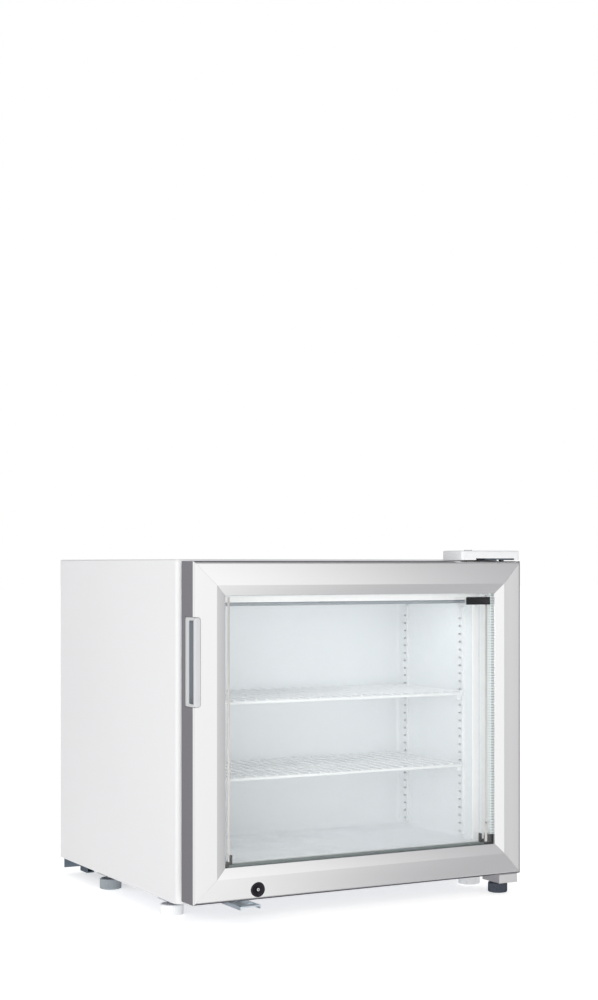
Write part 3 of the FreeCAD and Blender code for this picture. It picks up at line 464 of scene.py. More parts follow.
M["zinc"] = finish_mat("zinc_plate", (0.83, 0.83, 0.84), 0.34, metallic=1.0, vary=0.07, tint=(0.86, 0.85, 0.85), grain=700, grain_deep=0.00001, blotch=30, rough_vary=0.06, soft_edge=0.0004)
# painted reflection: zinc plate with a blue tint in its base colour, standing in for the blue it reflects
M["zinc_blue"] = finish_mat("zinc_painted_blue_reflection", (0.70, 0.81, 0.90), 0.32, metallic=1.0, vary=0.10, tint=(0.78, 0.86, 0.92), grain=700, grain_deep=0.00001, blotch=34, rough_vary=0.08, soft_edge=0.0004)
M["back"] = finish_mat("rear_panel_paint", (0.62, 0.63, 0.64), 0.50, vary=0.02, grain=1300, grain_deep=0.000014, blotch=6, rough_vary=0.06, soft_edge=0.0002)
M["black_paint"] = finish_mat("compressor_black", (0.018, 0.018, 0.019), 0.30, vary=0.15, grain=600, grain_deep=0.00002, blotch=25, soft_edge=0.0008)
M["black_plastic"] = finish_mat("moulded_black", (0.022, 0.023, 0.025), 0.42, vary=0.12, grain=1500, grain_deep=0.00003, blotch=40, soft_edge=0.0005)
M["black_gloss"] = finish_mat("black_gloss", (0.006, 0.0065, 0.008), 0.20, vary=0.12, grain=1000, grain_deep=0.00001, blotch=50)
M["foot_black"] = finish_mat("hinge_foot_black", (0.042, 0.053, 0.076), 0.27, vary=0.12, grain=1100, grain_deep=0.00001, blotch=50)
M["rubber"] = finish_mat("black_rubber", (0.02, 0.02, 0.02), 0.75, vary=0.15, grain=1200, grain_deep=0.00005, blotch=60, soft_edge=0.0006)
M["seal"] = finish_mat("seal_grey", (0.66, 0.67, 0.70), 0.60, vary=0.04, grain=900, grain_deep=0.00002, blotch=25, rough_vary=0.08)
M["alu"] = finish_mat("mill_aluminium", (0.80, 0.81, 0.83), 0.32, metallic=1.0, vary=0.05, grain=500, grain_deep=0.00001, blotch=20)
M["busbar"] = finish_mat("busbar_tinned_copper", (0.62, 0.585, 0.565), 0.36, metallic=1.0, vary=0.06, tint=(0.68, 0.65, 0.63), grain=500, grain_deep=0.00001, blotch=70)
M["copper"] = finish_mat("drawn_copper", (0.80, 0.42, 0.26), 0.30, metallic=1.0, vary=0.14, tint=(0.86, 0.50, 0.34), grain=400, grain_deep=0.00001, blotch=30)
M["foam"] = finish_mat("foam_block", (0.72, 0.62, 0.36), 0.9, vary=0.10, grain=350, grain_deep=0.0003, blotch=25)
M["acetal"] = finish_mat("bush_acetal", (0.75, 0.75, 0.70), 0.45, vary=0.04, grain=900, blotch=50)
M["grip"] = finish_mat("grip_grey", (0.57, 0.575, 0.58), 0.36, vary=0.02, grain=1700, grain_deep=0.00001, blotch=20, rough_vary=0.05)
# painted shade: the same grey plastic as the grip, darkened and tinted blue for the shade in the finger recess
M["recess"] = finish_mat("grip_recess_painted_shade", (0.215, 0.237, 0.262), 0.44, vary=0.03, grain=1500, grain_deep=0.00001, blotch=16, rough_vary=0.06)
M["cap"] = finish_mat("hinge_cap_white", (0.80, 0.805, 0.81), 0.30, vary=0.012, grain=900, grain_deep=0.000008, blotch=14, rough_vary=0.05)
M["white_gloss"] = finish_mat("white_moulding", (0.86, 0.865, 0.87), 0.25, vary=0.012, grain=900, grain_deep=0.000008, blotch=14, rough_vary=0.05)
# painted shade: a grey copy of the white foot plastic, for the shade under the cabinet on the rear feet
M["foot_painted_shade"] = finish_mat("foot_painted_shade", (0.30, 0.335, 0.36), 0.34, vary=0.03, grain=1000, grain_deep=0.00001, blotch=40)
M["foot"] = finish_mat("foot_white", (0.92, 0.93, 0.93), 0.30, vary=0.02, grain=1000, grain_deep=0.00001, blotch=40)
M["dark_chrome"] = finish_mat("dark_chrome", (0.036, 0.033, 0.040), 0.12, metallic=1.0, vary=0.10, grain=500, grain_deep=0.000004, blotch=60, rough_vary=0.05)
M["chrome"] = finish_mat("bright_chrome", (0.78, 0.78, 0.79), 0.14, metallic=1.0, vary=0.03, grain=500, grain_deep=0.000004, blotch=60, rough_vary=0.04)
M["steel"] = finish_mat("zinc_steel", (0.62, 0.62, 0.64), 0.30, metallic=1.0, vary=0.06, grain=500, grain_deep=0.00001, blotch=60, soft_edge=0.0003)
M["grey_box"] = finish_mat("moulded_grey", (0.60, 0.60, 0.58), 0.5, vary=0.03, grain=1300, grain_deep=0.00003, blotch=40, soft_edge=0.0006)
M["glass"] = clear_glass("door_glass")
M["glass_in"] = clear_glass("door_glass_inner")

# light bar: frosted plastic, not lit
M["lamp"] = finish_mat("light_bar_frosted", (0.235, 0.27, 0.305), 0.5, vary=0.02, grain=900, grain_deep=0.00001, blotch=30)
M["lamp_end"] = finish_mat("light_bar_socket", (0.22, 0.255, 0.285), 0.42, vary=0.03, grain=1300, grain_deep=0.00001, blotch=60)


def dotted_spacer():
    """Aluminium spacer bar with a row of small vent holes."""
    mat = finish_mat("spacer_dotted", (0.92, 0.97, 0.96), 0.38, metallic=0.1, vary=0.04, grain=600, grain_deep=0.00001, blotch=30)
    nt = mat.node_tree
    N, L = nt.nodes, nt.links
    bs = N["Principled BSDF"]
    tc = N.new("ShaderNodeTexCoord")
    sep = N.new("ShaderNodeSeparateXYZ")
    L.new(tc.outputs["Object"], sep.inputs["Vector"])

    def wave(out, pitch, centre=0.0):
        a = N.new("ShaderNodeMath")
        a.operation = "ADD"
        a.inputs[1].default_value = -centre
        L.new(out, a.inputs[0])
        b = N.new("ShaderNodeMath")
        b.operation = "PINGPONG"
        b.inputs[1].default_value = pitch / 2
        L.new(a.outputs["Value"], b.inputs[0])
        return b.outputs["Value"]

    z = wave(sep.outputs["Z"], 0.0042)
    y = N.new("ShaderNodeMath")
    y.operation = "PINGPONG"
    y.inputs[1].default_value = 0.0022
    L.new(sep.outputs["Y"], y.inputs[0])
    s1 = N.new("ShaderNodeMath")
    s1.operation = "POWER"
    s1.inputs[1].default_value = 2
    L.new(z, s1.inputs[0])
    s2 = N.new("ShaderNodeMath")
    s2.operation = "POWER"
    s2.inputs[1].default_value = 2
    L.new(y.outputs["Value"], s2.inputs[0])
    s = N.new("ShaderNodeMath")
    s.operation = "ADD"
    L.new(s1.outputs["Value"], s.inputs[0])
    L.new(s2.outputs["Value"], s.inputs[1])
    m = N.new("ShaderNodeMapRange")
    m.inputs["From Min"].default_value = 0.0000008
    m.inputs["From Max"].default_value = 0.0000003
    L.new(s.outputs["Value"], m.inputs["Value"])
    old = bs.inputs["Base Color"].links[0].from_socket
    mx = N.new("ShaderNodeMix")
    mx.data_type = "RGBA"
    mx.inputs["B"].default_value = (0.46, 0.56, 0.54, 1)
    L.new(m.outputs["Result"], mx.inputs["Factor"])
    L.new(old, mx.inputs["A"])
    L.new(mx.outputs["Result"], bs.inputs["Base Color"])
    return mat


M["spacer"] = dotted_spacer()


def dress(node, key):
    o = NODES[node]
    if not o.material_slots:
        o.data.materials.append(M[key])
    for s in o.material_slots:
        s.material = M[key]


# ------------------------------------------------------------------ sizes shared with the CAD model
DH, DB, DT, TH = 285.5, 34.0, 528.5, 45.3
FF, FR = 50.3, 35.0
TOP, LOW = 531.1, 25.8
CF, CR = 59.0, 538.0

# ------------------------------------------------------------------ door frame: four mitred extrusions
OUTLINE = rounded_poly([(0, TH), (0, 0.0), (FR, -4.5), (FF, -0.1), (FF, 2.6), (37.0, 2.6), (37.0, 24.0), (14.0, 24.0), (14.0, TH)],
                       [4.0, 5.0, 1.0, 0.5, 0.3, 0, 0, 0, 0.8], 10)
CHAMBER = [(4.2, 42.9), (2.4, 40.6), (2.4, 4.2), (30.5, -0.5), (33.5, -0.5), (34.6, 2.4), (34.6, 21.6), (11.6, 21.6), (11.6, 42.9)]
JOINT = 0.10


def rail(where):
    """where: left, right, top or bottom. Ends are cut at 45 degrees in the plane of the door."""
    def pt(u, d, end):
        if where in ("left", "right"):
            s = -1 if where == "left" else 1
            z = DB + u + JOINT if end == 0 else DT - u - JOINT
            return (s * (DH - u), d, z)
        x = -DH + u + JOINT if end == 0 else DH - u - JOINT
        return (x, d, DT - u) if where == "top" else (x, d, DB + u)

    bm = bmesh.new()
    rings = []
    for loop in (OUTLINE, CHAMBER):
        pair = []
        for end in (0, 1):
            pair.append([bm.verts.new(P(*pt(u, d, end))) for u, d in loop])
        n = len(loop)
        for k in range(n):
            bm.faces.new((pair[0][k], pair[0][(k + 1) % n], pair[1][(k + 1) % n], pair[1][k]))
        rings.append(pair)
    for end in (0, 1):
        edges = []
        for pair in rings:
            n = len(pair[end])
            for k in range(n):
                edges.append(bm.edges.get((pair[end][k], pair[end][(k + 1) % n])))
        bmesh.ops.triangle_fill(bm, use_beauty=True, use_dissolve=False, edges=edges)
    bmesh.ops.recalc_face_normals(bm, faces=bm.faces)
    me = bpy.data.meshes.new("rail")
    bm.to_mesh(me)
    bm.free()
    ob = bpy.data.objects.new("rail_" + where, me)
    bpy.context.scene.collection.objects.link(ob)
    return ob


def drum(axis, r, t0, t1, a, b, seg=48):
    return part(*lathe([(r, t0), (r, t1)], axis, a, b, seg))


def block(x0, x1, y0, y1, z0, z1):
    return part(*rloft("z", [((x0 + x1) / 2, (y0 + y1) / 2, (x1 - x0) / 2, (y1 - y0) / 2, 0.001, z0),
                             ((x0 + x1) / 2, (y0 + y1) / 2, (x1 - x0) / 2, (y1 - y0) / 2, 0.001, z1)], 1))


LX, LZ, BY = -183.5, 49.6, 17.5
HX, HY = 263.0, 22.0
for where, cutters in (
        ("left", [part(*rloft("y", [(-287.45, 383.0, 12.55, 65.0, 4.7, -10.0), (-287.45, 383.0, 12.55, 65.0, 4.7, 29.0)], 8)), block(-300, -265.0, 2.6, 21.8, 318, 448)]),
        ("right", [drum("z", 7.06, DT - 22, 600, HX, HY), drum("z", 7.06, -10, DB + 22, HX, HY)]),
        ("top", [drum("z", 7.06, DT - 22, 600, HX, HY)]),
        ("bottom", [drum("z", 7.06, -10, DB + 22, HX, HY), drum("y", 9.0, -8, 6, LX, LZ), drum("y", 11.1, -8, -0.5, LX, LZ),
                    block(LX - 3.4, LX + 3.4, BY - 3.9, BY + 3.9, DB - 5, DB + 8)])):
    ob = rail(where)
    cut_with(ob, cutters)
    finish_piece(ob, M["rail_z"] if where in ("left", "right") else M["rail_x"], "door", ("door_rail_" + where,), 24)

# glass unit, its spacer, heater strips and corner blocks
dress("outer_glass_pane", "glass")
dress("inner_glass_pane", "glass_in")
dress("glass_spacer", "spacer")
strips = [soft_box(-229.0, -225.4, 6.85, 7.25, 101.0, 476, 0.08, "z", 0.1, 2), soft_box(-228.4, -226.0, 6.85, 7.12, 92.0, 101.5, 0.06, "z", 0.1, 2),
          soft_box(221.0, 224.6, 6.85, 7.25, 117.0, 476, 0.08, "z", 0.1, 2), soft_box(220.2, 224.9, 6.85, 7.30, 88.0, 119.0, 0.1, "z", 0.1, 2)]
make("heater_strips", *merge(*strips), M["busbar"], "door", "heater_busbars", ("heater_busbars",))
blocks = []
for s in (-1, 1):
    a, b = sorted((s * 231.5, s * 217.0))
    blocks.append(soft_box(a, b, 15.2, 19.9, 86.2, 91.0, 0.4, "y", 0.8))
    blocks.append(soft_box(a, a + 3.6, 15.2, 19.9, 86.2, 100.0, 0.4, "y", 0.8))
    blocks.append(soft_box(b - 3.6, b, 15.2, 19.9, 86.2, 100.0, 0.4, "y", 0.8))
make("glass_blocks", *merge(*blocks), M["black_gloss"], "door", "glass_corner_blocks", ("glass_corner_blocks",))
make("badge_blank", *rloft("y", [(205.75, 466.5, 22.2, 6.0, 1.0, 2.79), (205.75, 466.5, 22.2, 6.0, 1.0, 1.75), (205.75, 466.5, 21.9, 5.7, 0.8, 1.45), (205.75, 466.5, 21.3, 5.1, 0.6, 1.40),
                                (205.75, 466.5, 21.1, 4.9, 0.5, 1.55), (205.75, 466.5, 20.8, 4.6, 0.5, 1.6)], 4), M["black_gloss"], "door", "badge_plate", ("badge_plate",))
# sealant between the panes: a dark bead on the lower spacer bar and black tape at the lower corners
bead = [soft_box(-231.5, 231.5, 7.45, 19.9, 85.52, 86.12, 0.2, "x", 0.25, 2), soft_box(-216.6, 216.6, 7.45, 19.9, 86.0, 87.0, 0.4, "x", 0.5, 3), soft_box(-226.3, 218.3, 7.29, 7.38, 83.0, 86.4, 0.02, "y", 0.2, 2)]
make("pane_bead", *merge(*bead), M["sealant"], "door", None, (), 40)
tape = [soft_box(-236.5, -226.6, 7.29, 7.38, 83.0, 90.0, 0.02, "y", 0.4, 2), soft_box(-228.4, -226.6, 7.29, 7.38, 83.0, 99.0, 0.02, "y", 0.4, 2), soft_box(218.6, 237.0, 7.31, 7.39, 83.0, 99.0, 0.02, "y", 0.4, 2)]
make("pane_tape", *merge(*tape), M["black_gloss"], "door", None, (), 40)
dress("door_inner_frame", "white_gloss")
dress("corner_keys", "black_plastic")
dress("hinge_bushes", "acetal")

# gasket: mitred bellows section swept round the door
SEAL = rounded_poly([(27.6, TH + 0.05), (44.9, TH + 0.05), (44.9, TH + 1.6), (41.0, TH + 2.4), (40.2, TH + 4.2), (42.9, TH + 6.6), (43.3, TH + 8.6), (43.3, TH + 12.4), (42.4, TH + 13.25), (29.4, TH + 13.25), (28.7, TH + 12.4),
                     (28.7, TH + 8.6), (29.2, TH + 6.6), (31.6, TH + 4.2), (31.0, TH + 2.4), (27.6, TH + 1.6)], 0.5, 3)


def frame_sweep(section, x0, x1, z0, z1):
    """Sweeps (inset, depth) round a rectangle in the plane of the door, mitred."""
    verts, faces = [], []
    n = len(section)
    for sx, sz in ((-1, -1), (1, -1), (1, 1), (-1, 1)):
        for u, d in section:
            verts.append(((x0 + u) if sx < 0 else (x1 - u), d, (z0 + u) if sz < 0 else (z1 - u)))
    for c in range(4):
        for k in range(n):
            a, b = c * n + k, c * n + (k + 1) % n
            e = ((c + 1) % 4) * n
            faces.append((a, b, e + (k + 1) % n, e + k))
    return verts, faces


make("gasket", *frame_sweep(SEAL, -DH, DH, DB, DT), M["seal"], "door", "door_gasket", ("door_gasket",), 28)

# grip: front lip, side flange and the finger recess in one moulding; the recess gets a darker blue-grey copy of the
# grip plastic, painted shade for the shade inside it
gz, gh = 383.0, 64.7
lip = []
for k in range(9):
    q = math.pi / 2 * k / 8
    lip.append((-280.35, gz, 5.15 - 2.2 * (1 - math.cos(q)), gh - 2.2 * (1 - math.cos(q)), 4.4 - 2.0 * (1 - math.cos(q)), -1.0 - 2.2 * math.sin(q)))
lip = rloft("y", [(-280.35, gz, 5.15, gh, 4.4, -0.15)] + lip, 8)
RE = 1.3
rim = [(14.2, gz, 14.5, gh, 3.2, -275.3)]
for k in range(6):
    q = math.pi / 2 * k / 5
    rim.append((14.2, gz, 14.5 - RE * (1 - math.cos(q)), gh - RE * (1 - math.cos(q)), 3.2 - 0.6 * (1 - math.cos(q)), -285.5 + RE - RE * math.sin(q)))
for k in range(5):
    q = math.pi / 2 * k / 4
    rim.append((9.7, gz, 10.2 - 1.0 * math.sin(q), 61.0 - 1.0 * math.sin(q), 3.2 - 0.6 * math.sin(q), -285.5 + 1.0 - 1.0 * math.cos(q)))
rim.append((9.7, gz, 9.15, 59.95, 2.6, -283.6))
rim = rloft("x", rim, 6, (True, False))
make("grip", *merge(lip, rim), M["grip"], "door", "door_grip", ("door_grip",), 40)
cup = rloft("x", [(9.7, gz, 9.1, 59.9, 2.6, -283.7), (9.8, gz, 8.95, 59.6, 2.6, -271.5), (10.2, gz, 8.5, 58.8, 3.0, -269.0), (10.6, gz, 7.2, 57.4, 3.2, -267.9), (10.8, gz, 5.4, 55.6, 3.0, -267.65)], 6, (False, True))
make("grip_recess", *cup, M["recess"], "door", "door_grip", (), 40)

# lock
housing = lathe([(8.9, 7.2), (8.9, -0.2), (11.0, -0.6), (11.0, -3.1), (10.75, -3.8), (10.2, -4.25), (9.4, -4.40), (8.7, -4.30), (7.9, -3.9), (7.0, -3.6), (6.62, -3.5), (6.58, -2.5), (6.58, 7.2)], "y", LX, LZ, 56)
n_ring = 56
n_rows = len(housing[0]) // n_ring
ring_faces = housing[1][:-2] + [((n_rows - 1) * n_ring + k, (n_rows - 1) * n_ring + (k + 1) % n_ring, (k + 1) % n_ring, k) for k in range(n_ring)]
make("lock_ring", housing[0], ring_faces, M["dark_chrome"], "door", "lock_housing", ("lock_housing",), 40)
barrel = merge(lathe([(6.5, 10.5), (6.5, -3.2), (6.2, -3.55), (5.4, -3.65), (4.2, -3.2), (3.4, -2.3), (3.1, -1.2), (2.6, -1.2)], "y", LX, LZ, 48),
               lathe([(2.55, -1.0), (2.55, -3.4), (2.3, -3.85), (1.6, -4.0), (0.05, -4.0)], "y", LX, LZ, 32))
make("lock_plug", *barrel, M["dark_chrome"], "lock_barrel", "lock_barrel", ("lock_barrel",), 40)
pin = lathe([(2.4, -3.90), (2.2, -4.02), (1.2, -4.06), (0.9, -3.95), (0.75, -3.2), (0.05, -3.1)], "y", LX, LZ, 32)
make("lock_pin", *pin, M["chrome"], "lock_barrel", "lock_barrel", (), 40)
cam = soft_box(LX - 2, LX + 2, 8.4, 10.6, LZ - 9, LZ + 2, 0.3, "y", 1.6)
make("lock_cam", *cam, M["steel"], "lock_barrel", "lock_barrel", (), 40)
dress("lock_bolt", "steel")

# ------------------------------------------------------------------ cabinet shell
def shell():
    bm = bmesh.new()
    o = {}
    for sx in (-1, 1):
        for yy in (CF, CR):
            for zz in (LOW, TOP):
                o[sx, yy, zz] = bm.verts.new(P(285 * sx, yy, zz))
    q = {}
    for sx in (-1, 1):
        for zz in (72.0, 490.0):
            q[sx, zz] = bm.verts.new(P(256 * sx, CF, zz))
    f = bm.faces.new
    f((o[-1, CF, LOW], o[-1, CF, TOP], o[-1, CR, TOP], o[-1, CR, LOW]))
    f((o[1, CF, LOW], o[1, CR, LOW], o[1, CR, TOP], o[1, CF, TOP]))
    f((o[-1, CF, TOP], o[1, CF, TOP], o[1, CR, TOP], o[-1, CR, TOP]))
    f((o[-1, CF, TOP], o[-1, CF, LOW], q[-1, 72.0], q[-1, 490.0]))
    f((o[1, CF, LOW], o[1, CF, TOP], q[1, 490.0], q[1, 72.0]))
    f((o[-1, CF, LOW], o[1, CF, LOW], q[1, 72.0], q[-1, 72.0]))
    f((o[1, CF, TOP], o[-1, CF, TOP], q[-1, 490.0], q[1, 490.0]))
    bmesh.ops.recalc_face_normals(bm, faces=bm.faces)
    lay = bm.edges.layers.float.new("bevel_weight_edge")
    for sx in (-1, 1):
        bm.edges.get((o[sx, CF, LOW], o[sx, CF, TOP]))[lay] = 1.0
        bm.edges.get((o[sx, CF, TOP], o[sx, CR, TOP]))[lay] = 0.34
    bm.edges.get((o[-1, CF, TOP], o[1, CF, TOP]))[lay] = 0.34
    me = bpy.data.meshes.new("shell")
    bm.to_mesh(me)
    bm.free()
    ob = bpy.data.objects.new("shell", me)
    bpy.context.scene.collection.objects.link(ob)
    m = ob.modifiers.new("b", "BEVEL")
    m.limit_method = "WEIGHT"
    m.width = 0.009
    m.segments = 7
    s = ob.modifiers.new("s", "SOLIDIFY")
    s.thickness = 0.001
    s.offset = -1
    apply_mods(ob)
    finish_piece(ob, M["shell"], "cabinet", ("outer_wrap",), 30)
    return ob


shell()


def liner():
    bm = bmesh.new()
    x, y0, y1, z0, z1 = 232.0, 61.0, 286.0, 82.0, 467.0
    v = {}
    for sx in (-1, 1):
        for yy in (y0, y1):
            for zz in (z0, z1):
                v[sx, yy, zz] = bm.verts.new(P(x * sx, yy, zz))
    f = bm.faces.new
    faces = [f((v[-1, y0, z0], v[-1, y0, z1], v[-1, y1, z1], v[-1, y1, z0])),
             f((v[1, y0, z0], v[1, y1, z0], v[1, y1, z1], v[1, y0, z1])),
             f((v[-1, y0, z0], v[-1, y1, z0], v[1, y1, z0], v[1, y0, z0])),
             f((v[-1, y0, z1], v[1, y0, z1], v[1, y1, z1], v[-1, y1, z1])),
             f((v[-1, y1, z0], v[-1, y1, z1], v[1, y1, z1], v[1, y1, z0]))]
    lay = bm.edges.layers.float.new("bevel_weight_edge")
    for e in bm.edges:
        if len(e.link_faces) == 2:
            e[lay] = 1.0
    bmesh.ops.recalc_face_normals(bm, faces=bm.faces)
    # normals look into the storage space
    c = Vector(P(0, 170, 270))
    for q in bm.faces:
        if q.normal.dot(c - q.calc_center_median()) < 0:
            q.normal_flip()
    me = bpy.data.meshes.new("liner")
    bm.to_mesh(me)
    bm.free()
    ob = bpy.data.objects.new("liner_tub", me)
    bpy.context.scene.collection.objects.link(ob)
    m = ob.modifiers.new("b", "BEVEL")
    m.limit_method = "WEIGHT"
    m.width = 0.006
    m.segments = 6
    s = ob.modifiers.new("s", "SOLIDIFY")
    s.thickness = 0.0014
    s.offset = -1
    apply_mods(ob)
    finish_piece(ob, M["liner"], "cabinet", ("inner_liner",), 30)


liner()

TRIM = rounded_poly([(0.1, 60.9), (0.1, 59.5), (1.2, 59.12), (4.5, 59.02), (16.8, 59.02), (18.4, 59.35), (22.8, 59.75), (23.9, 60.3), (23.9, 60.9)], [0, 0.3, 0.6, 1.5, 1.2, 0.8, 0.8, 0.4, 0], 4)
tv, tf = [], []
n = len(TRIM)
for sx, sz in ((-1, -1), (1, -1), (1, 1), (-1, 1)):
    for u, d in TRIM:
        k = u / 24.0
        x = 256 - 24 * k
        zlo, zhi = 72 + 10 * k, 490 - 23 * k
        tv.append((sx * x, d, zlo if sz < 0 else zhi))
for c in range(4):
    for k in range(n):
        a, b = c * n + k, c * n + (k + 1) % n
        e = ((c + 1) % 4) * n
        tf.append((a, b, e + (k + 1) % n, e + k))
make("opening_trim", tv, tf, M["trim"], "cabinet", "front_trim_frame", ("front_trim_frame",), 28)

# ------------------------------------------------------------------ shelves, uprights, clips, light
dress("shelf_pilasters", "upright")


def shelf(name, node, top):
    parts = []
    wz = top - 1.5
    rz = wz - 1.5 - 2.5 + 0.5
    for y in (78, 175, 272):
        parts.append(tube([(-221.5, y, rz), (221.5, y, rz)], 2.5, 14))
    n = 25
    for i in range(n):
        x = 18.5 * (i - (n - 1) / 2)
        parts.append(tube([(x, 77.2, wz), (x, 273, wz)], 1.5, 10))
    make(name, *merge(*parts), M["wire"], "cabinet", node, (node,), 50)


shelf("shelf_upper", "upper_wire_shelf", 321.0)
shelf("shelf_lower", "lower_wire_shelf", 206.0)

clips = []
for top, k in ((321.0, 17), (206.0, 8)):
    sz = 93.7 + 12.7 * k
    for s in (-1, 1):
        for y0 in (84.0, 252.0):
            m = y0 + 6
            a, b = sorted((s * 228.0, s * 219.2))
            clips.append(soft_box(a, b, m - 4.9, m + 4.9, top - 16, top - 3.0, 1.2, "y", 3.2, 4))
            a, b = sorted((s * 227.5, s * 230.5))
            clips.append(soft_box(a, b, m - 3, m + 3, sz - 1.1, sz + 1.1, 0.3, "x", 0.5, 2))
make("shelf_hooks", *merge(*clips), M["clip"], "cabinet", "shelf_clips", ("shelf_clips",), 40)
make("light_bar", *soft_box(-200, 200, CF + 14, CF + 30, 461.1, 467.0, 1.6, "x", 2.2, 4), M["lamp"], "cabinet", "light_strip", ("light_strip",), 40)
ends = [soft_box(a, b, CF + 14.6, CF + 29.4, 461.6, 466.9, 0.7, "x", 1.8, 3) for a, b in ((-226.5, -200.2), (200.2, 226.5))]
make("light_bar_sockets", *merge(*ends), M["lamp_end"], "cabinet", None, (), 40)

# ------------------------------------------------------------------ hinges and parts under the cabinet
dress("top_hinge_bracket", "galv_dark")
dress("bottom_hinge_bracket", "zinc")
# the strike bracket's blue tint is a painted reflection
dress("strike_bracket", "zinc_blue")
dress("foot_brackets", "galv")
dress("bracket_screws", "steel")

z0, zt, z1 = TOP - 0.8, TOP + 0.3, TOP + 13.9
cx, cy, hx, hy = (173.8 + 283.2) / 2, 28.0, (283.2 - 173.8) / 2, 28.0
cover = make("hinge_cap", *rloft("z", [(cx, cy, hx, hy, 4, z0), (cx, cy, hx, hy, 4, z1 - 2.2), (cx, cy, hx - 0.25, hy - 0.25, 3.8, z1 - 1.3), (cx, cy, hx - 0.9, hy - 0.9, 3.2, z1 - 0.45),
                                       (cx, cy, hx - 2.0, hy - 2.0, 2.4, z1), ], 8), None, None)
tail = part(*rloft("z", [(249.5, 75, 33.7, 24.9, 4, zt), (249.5, 75, 33.7, 24.9, 4, TOP + 7.4), (249.5, 75, 33.2, 24.4, 3.6, TOP + 8.5), (249.5, 75, 32.2, 23.4, 2.6, TOP + 9.0)], 6))
mm = cover.modifiers.new("u", "BOOLEAN")
mm.operation = "UNION"
mm.solver = "EXACT"
mm.object = tail
apply_mods(cover)
td = tail.data
bpy.data.objects.remove(tail)
bpy.data.meshes.remove(td)
cut_with(cover, [block(176.0, 281.3, 2.2, 53.6, TOP - 5, TOP + 11.6), block(218.0, 281.3, 48, 97.8, TOP - 5, TOP + 6.8), block(200.5, 273.5, -5, 2.4, TOP - 5, TOP + 1.9), drum("z", 2.0, TOP + 2, TOP + 20, 200, 22)])
finish_piece(cover, M["cap"], "cabinet", ("hinge_cover",), 35)

# ------------------------------------------------------------------ feet
FEET = (("foot_front_left", -266.5, 118.0), ("foot_front_right", 266.5, 118.0), ("foot_rear_left", -266.5, 359.0), ("foot_rear_right", 266.5, 359.0))


def foot(node, x, y, R, H, ribs, mat, stud_top):
    prof = [(R - 2.6, 0.0), (R - 0.9, 0.5), (R - 0.15, 1.6), (R, 2.6), (R, 3.0), (R, H - 3.4), (R - 0.1, H - 2.4), (R - 0.5, H - 1.0), (R - 1.6, H - 0.2), (R - 2.8, H), (R - 4.2, H - 0.3), (R - 5.0, H - 1.3), (R - 5.6, H - 1.6), (7.4, H - 1.6)]
    body = lathe(prof, "z", x, y, 48, ribs, (4, 5), 0.9, 6)
    make(node + "_pad", *body, M[mat], node, node, (node,), 38)
    studp = lathe([(3.9, H - 4), (3.9, H), (3.6, H + 0.2)] + [(4.0 - 0.32 * (i % 2), H + 3.3 + 0.62 * i) for i in range(int((stud_top - H - 3.5) / 0.62))] + [(3.3, stud_top)], "z", x, y, 24)
    nut = rloft("z", [(x, y, 6.2, 6.2, 2.6, H - 1.5), (x, y, 6.5, 6.5, 2.7, H - 1.0), (x, y, 6.5, 6.5, 2.7, H + 2.5), (x, y, 6.1, 6.1, 3.0, H + 3.0)], 4)
    make(node + "_stud", *merge(studp, nut), M["steel"], node, node, (), 38)


# the front feet are white; the rear feet take the grey copy, painted shade for the shade under the cabinet
for node, x, y in FEET:
    foot(node, x, y, 17.5, 17.0, 40, "foot" if "front" in node else "foot_painted_shade", 25.5)
foot("foot_hinge", 268.0, 39.0, 15.5, 16.0, 34, "foot_black", 31.4)

# ------------------------------------------------------------------ hidden body and the machine compartment
dress("foam_insulation", "foam")
dress("bottom_pan", "galv")
dress("compartment_wall", "galv")
dress("compressor_base", "galv_dark")
dress("rear_panel", "back")
dress("compressor", "black_paint")
dress("rubber_grommets", "rubber")
dress("grommet_bolts", "steel")
dress("terminal_box", "black_plastic")
dress("condenser_fins", "alu")
dress("condenser_tube", "black_paint")
dress("fan_plate", "galv")
dress("fan_motor", "black_plastic")
dress("fan_blades", "black_plastic")
dress("refrigerant_pipes", "copper")
dress("filter_drier", "copper")
dress("evaporator_tube", "alu")
dress("thermostat_body", "grey_box")
dress("thermostat_knob", "black_plastic")
dress("light_switch_bezel", "black_plastic")
dress("light_switch_rocker", "black_gloss")
dress("cord_gland", "black_plastic")

# ------------------------------------------------------------------ stage, light, camera
floor = bpy.data.meshes.new("floor")
floor.from_pydata([(-30, -30, 0), (30, -30, 0), (30, 30, 0), (-30, 30, 0)], [], [(0, 1, 2, 3)])
floor_ob = bpy.data.objects.new("floor", floor)
bpy.context.scene.collection.objects.link(floor_ob)
fm = bpy.data.materials.new("floor_pale")
fnt, fbs = nodes_of(fm)
fbs.inputs["Base Color"].default_value = (0.88, 0.88, 0.88, 1)
fbs.inputs["Roughness"].default_value = 0.9
fbs.inputs["Specular IOR Level"].default_value = 0.1
fbs.inputs["Emission Color"].default_value = (1, 1, 1, 1)
fbs.inputs["Emission Strength"].default_value = 0.58
floor_ob.visible_glossy = False
floor.materials.append(fm)

